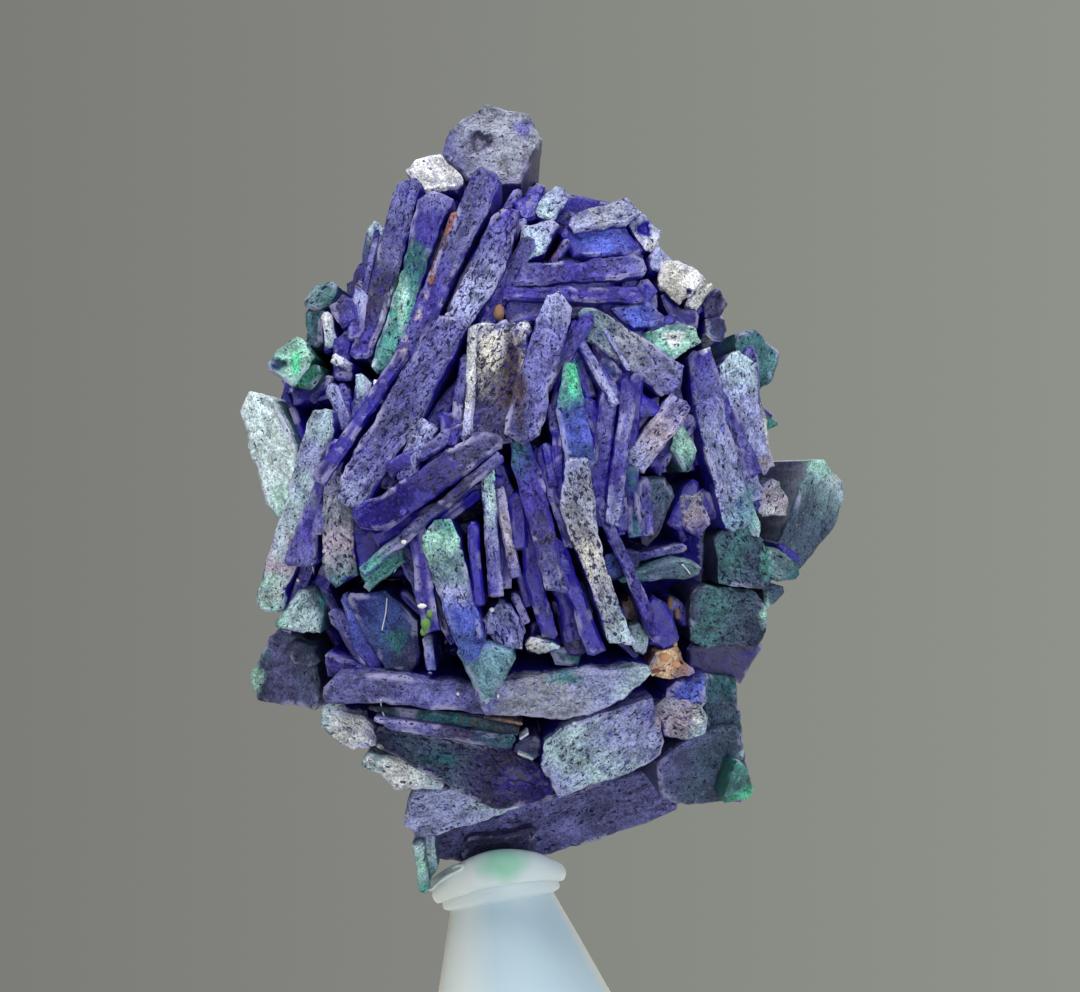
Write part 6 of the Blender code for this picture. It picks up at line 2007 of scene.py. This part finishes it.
@dataclass
class Studio:
    """Floor, background, lights and camera. Sizes in metres."""

    lens_mm: float = 300.0
    distance: float = 0.45
    floor_radius: float = 0.2
    floor_sides: int = 96
    floor_drop: float = 0.0001
    sensor_mm: float = 36.0
    nearest: float = 0.01
    left_grey: str = "#7c7c78"
    right_grey: str = "#8f928b"

    def floor(self) -> bpy.types.Object:
        """A plain pale disc under the specimen, just below its foot."""
        count = self.floor_sides
        points = [(self.floor_radius * math.cos(2 * math.pi * step / count),
                   self.floor_radius * math.sin(2 * math.pi * step / count), -self.floor_drop)
                  for step in range(count)]
        mesh = bpy.data.meshes.new("floor")
        mesh.from_pydata(points, [], [tuple(range(count))])
        disc = bpy.data.objects.new("floor", mesh)
        bpy.context.scene.collection.objects.link(disc)
        mesh.materials.append(FloorFinish().build())
        return disc

    def world(self) -> None:
        """A plain grey studio background, a little lighter to the right."""
        world = bpy.data.worlds.new("studio")
        bpy.context.scene.world = world
        world.use_nodes = True
        tree = world.node_tree
        back = tree.nodes["Background"]
        way = node(tree, "ShaderNodeTexCoord").outputs["Generated"]
        parts = node(tree, "ShaderNodeSeparateXYZ", {}, {0: way})
        share = node(tree, "ShaderNodeMapRange", {}, {0: parts.outputs[0], 1: -0.06, 2: 0.06})
        grey = node(tree, "ShaderNodeMix", {"data_type": "RGBA"},
                    {0: share.outputs[0], 6: (*linear(self.left_grey), 1.0),
                     7: (*linear(self.right_grey), 1.0)}).outputs[2]
        tree.links.new(grey, back.inputs["Color"])
        back.inputs["Strength"].default_value = 1.0

    def light(self, name: str, place: tuple, aim: Vector, size: float, power: float,
              colour: str) -> None:
        """Add one soft square light that faces the specimen.

        Args:
            name: Its name.
            place: Where it stands.
            aim: What it faces.
            size: Its side.
            power: Its power in watts.
            colour: Its colour as sRGB hex.
        """
        data = bpy.data.lights.new(name, "AREA")
        data.shape = "SQUARE"
        data.size = size
        data.energy = power
        data.color = linear(colour)
        lamp = bpy.data.objects.new(name, data)
        lamp.location = place
        lamp.rotation_euler = (aim - Vector(place)).to_track_quat("-Z", "Y").to_euler()
        bpy.context.scene.collection.objects.link(lamp)

    def camera(self, aim: Vector) -> None:
        """Set the photograph's view: level, from the front, through a long lens.

        Args:
            aim: What the camera faces.
        """
        data = bpy.data.cameras.new("view")
        data.lens = self.lens_mm
        data.sensor_width = self.sensor_mm
        data.clip_start = self.nearest
        eye = bpy.data.objects.new("view", data)
        eye.location = aim - Vector((0, self.distance, 0))
        eye.rotation_euler = (math.pi / 2, 0, 0)
        bpy.context.scene.collection.objects.link(eye)
        bpy.context.scene.camera = eye

    def build(self, ball: Ball) -> None:
        """Set up the whole studio.

        Args:
            ball: The crystals' ball, which the view and the lights aim at.
        """
        aim = (ball.centre + ball.view_aim) * MM
        self.floor()
        self.world()
        self.light("top_softbox", (-0.12, -0.22, 0.46), aim, 0.30, 2.6, "#fffcf6")
        self.light("front_fill", (0.25, -0.50, 0.12), aim, 0.50, 1.6, "#eef2ff")
        self.light("rim_light", (0.10, 0.35, 0.30), aim, 0.25, 1.0, "#ffffff")
        self.camera(aim)
        bpy.context.scene.view_settings.view_transform = "Standard"


def dress(pieces: list[bpy.types.Object], body: str) -> None:
    """Say what each piece replaces and rides on, and log its face count.

    Args:
        pieces: The pieces.
        body: The part of the frame that they replace.
    """
    for piece in pieces:
        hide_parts(body)
        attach(piece, "root")
        LOG.info("%s: %d faces", piece.name, len(piece.data.polygons))


# Seed of the noise that lets edges stray; without one, each run takes its own from the clock.
NOISE_SEED = 1

FULL_SPACING = 0.17


def main() -> None:
    """Build the specimen, its holder and the studio."""
    logging.basicConfig(level=logging.INFO, format="%(message)s")
    noise.seed_set(NOISE_SEED)
    ball = Ball()
    holder = Holder()
    spacing = FULL_SPACING
    cluster = Cluster(ball, CrystalCutter(spacing=spacing))
    stone = AzuriteFinish().build()
    pieces = [cluster.middle(), cluster.shards(holder)] + cluster.back(holder)
    groups = (("crystals_upper_left", UPPER_LEFT), ("crystals_left_side", LEFT_SIDE),
              ("crystals_crossing", CROSSING), ("crystals_right_side", RIGHT_SIDE),
              ("crystals_centre_low", CENTRE_LOW), ("crystals_base", BASE),
              ("crystals_details", DETAILS))
    for name, rows in groups:
        pieces.append(cluster.front(name, rows, holder))
    for piece in pieces:
        piece.data.materials.append(stone)
    pieces += Debris(ball).build(pieces, CRUMBS, THREADS, "crumbs")
    dress(pieces, "azurite_cluster")
    cone = holder.build(ball)
    cone.data.materials.append(MilkyPlasticFinish().build())
    loop = Debris(ball).build([cone], (), (LIP_LOOP,), "lip_loop")
    dress([cone] + loop, "holder")
    Studio().build(ball)


if __name__ == "__main__":
    main()
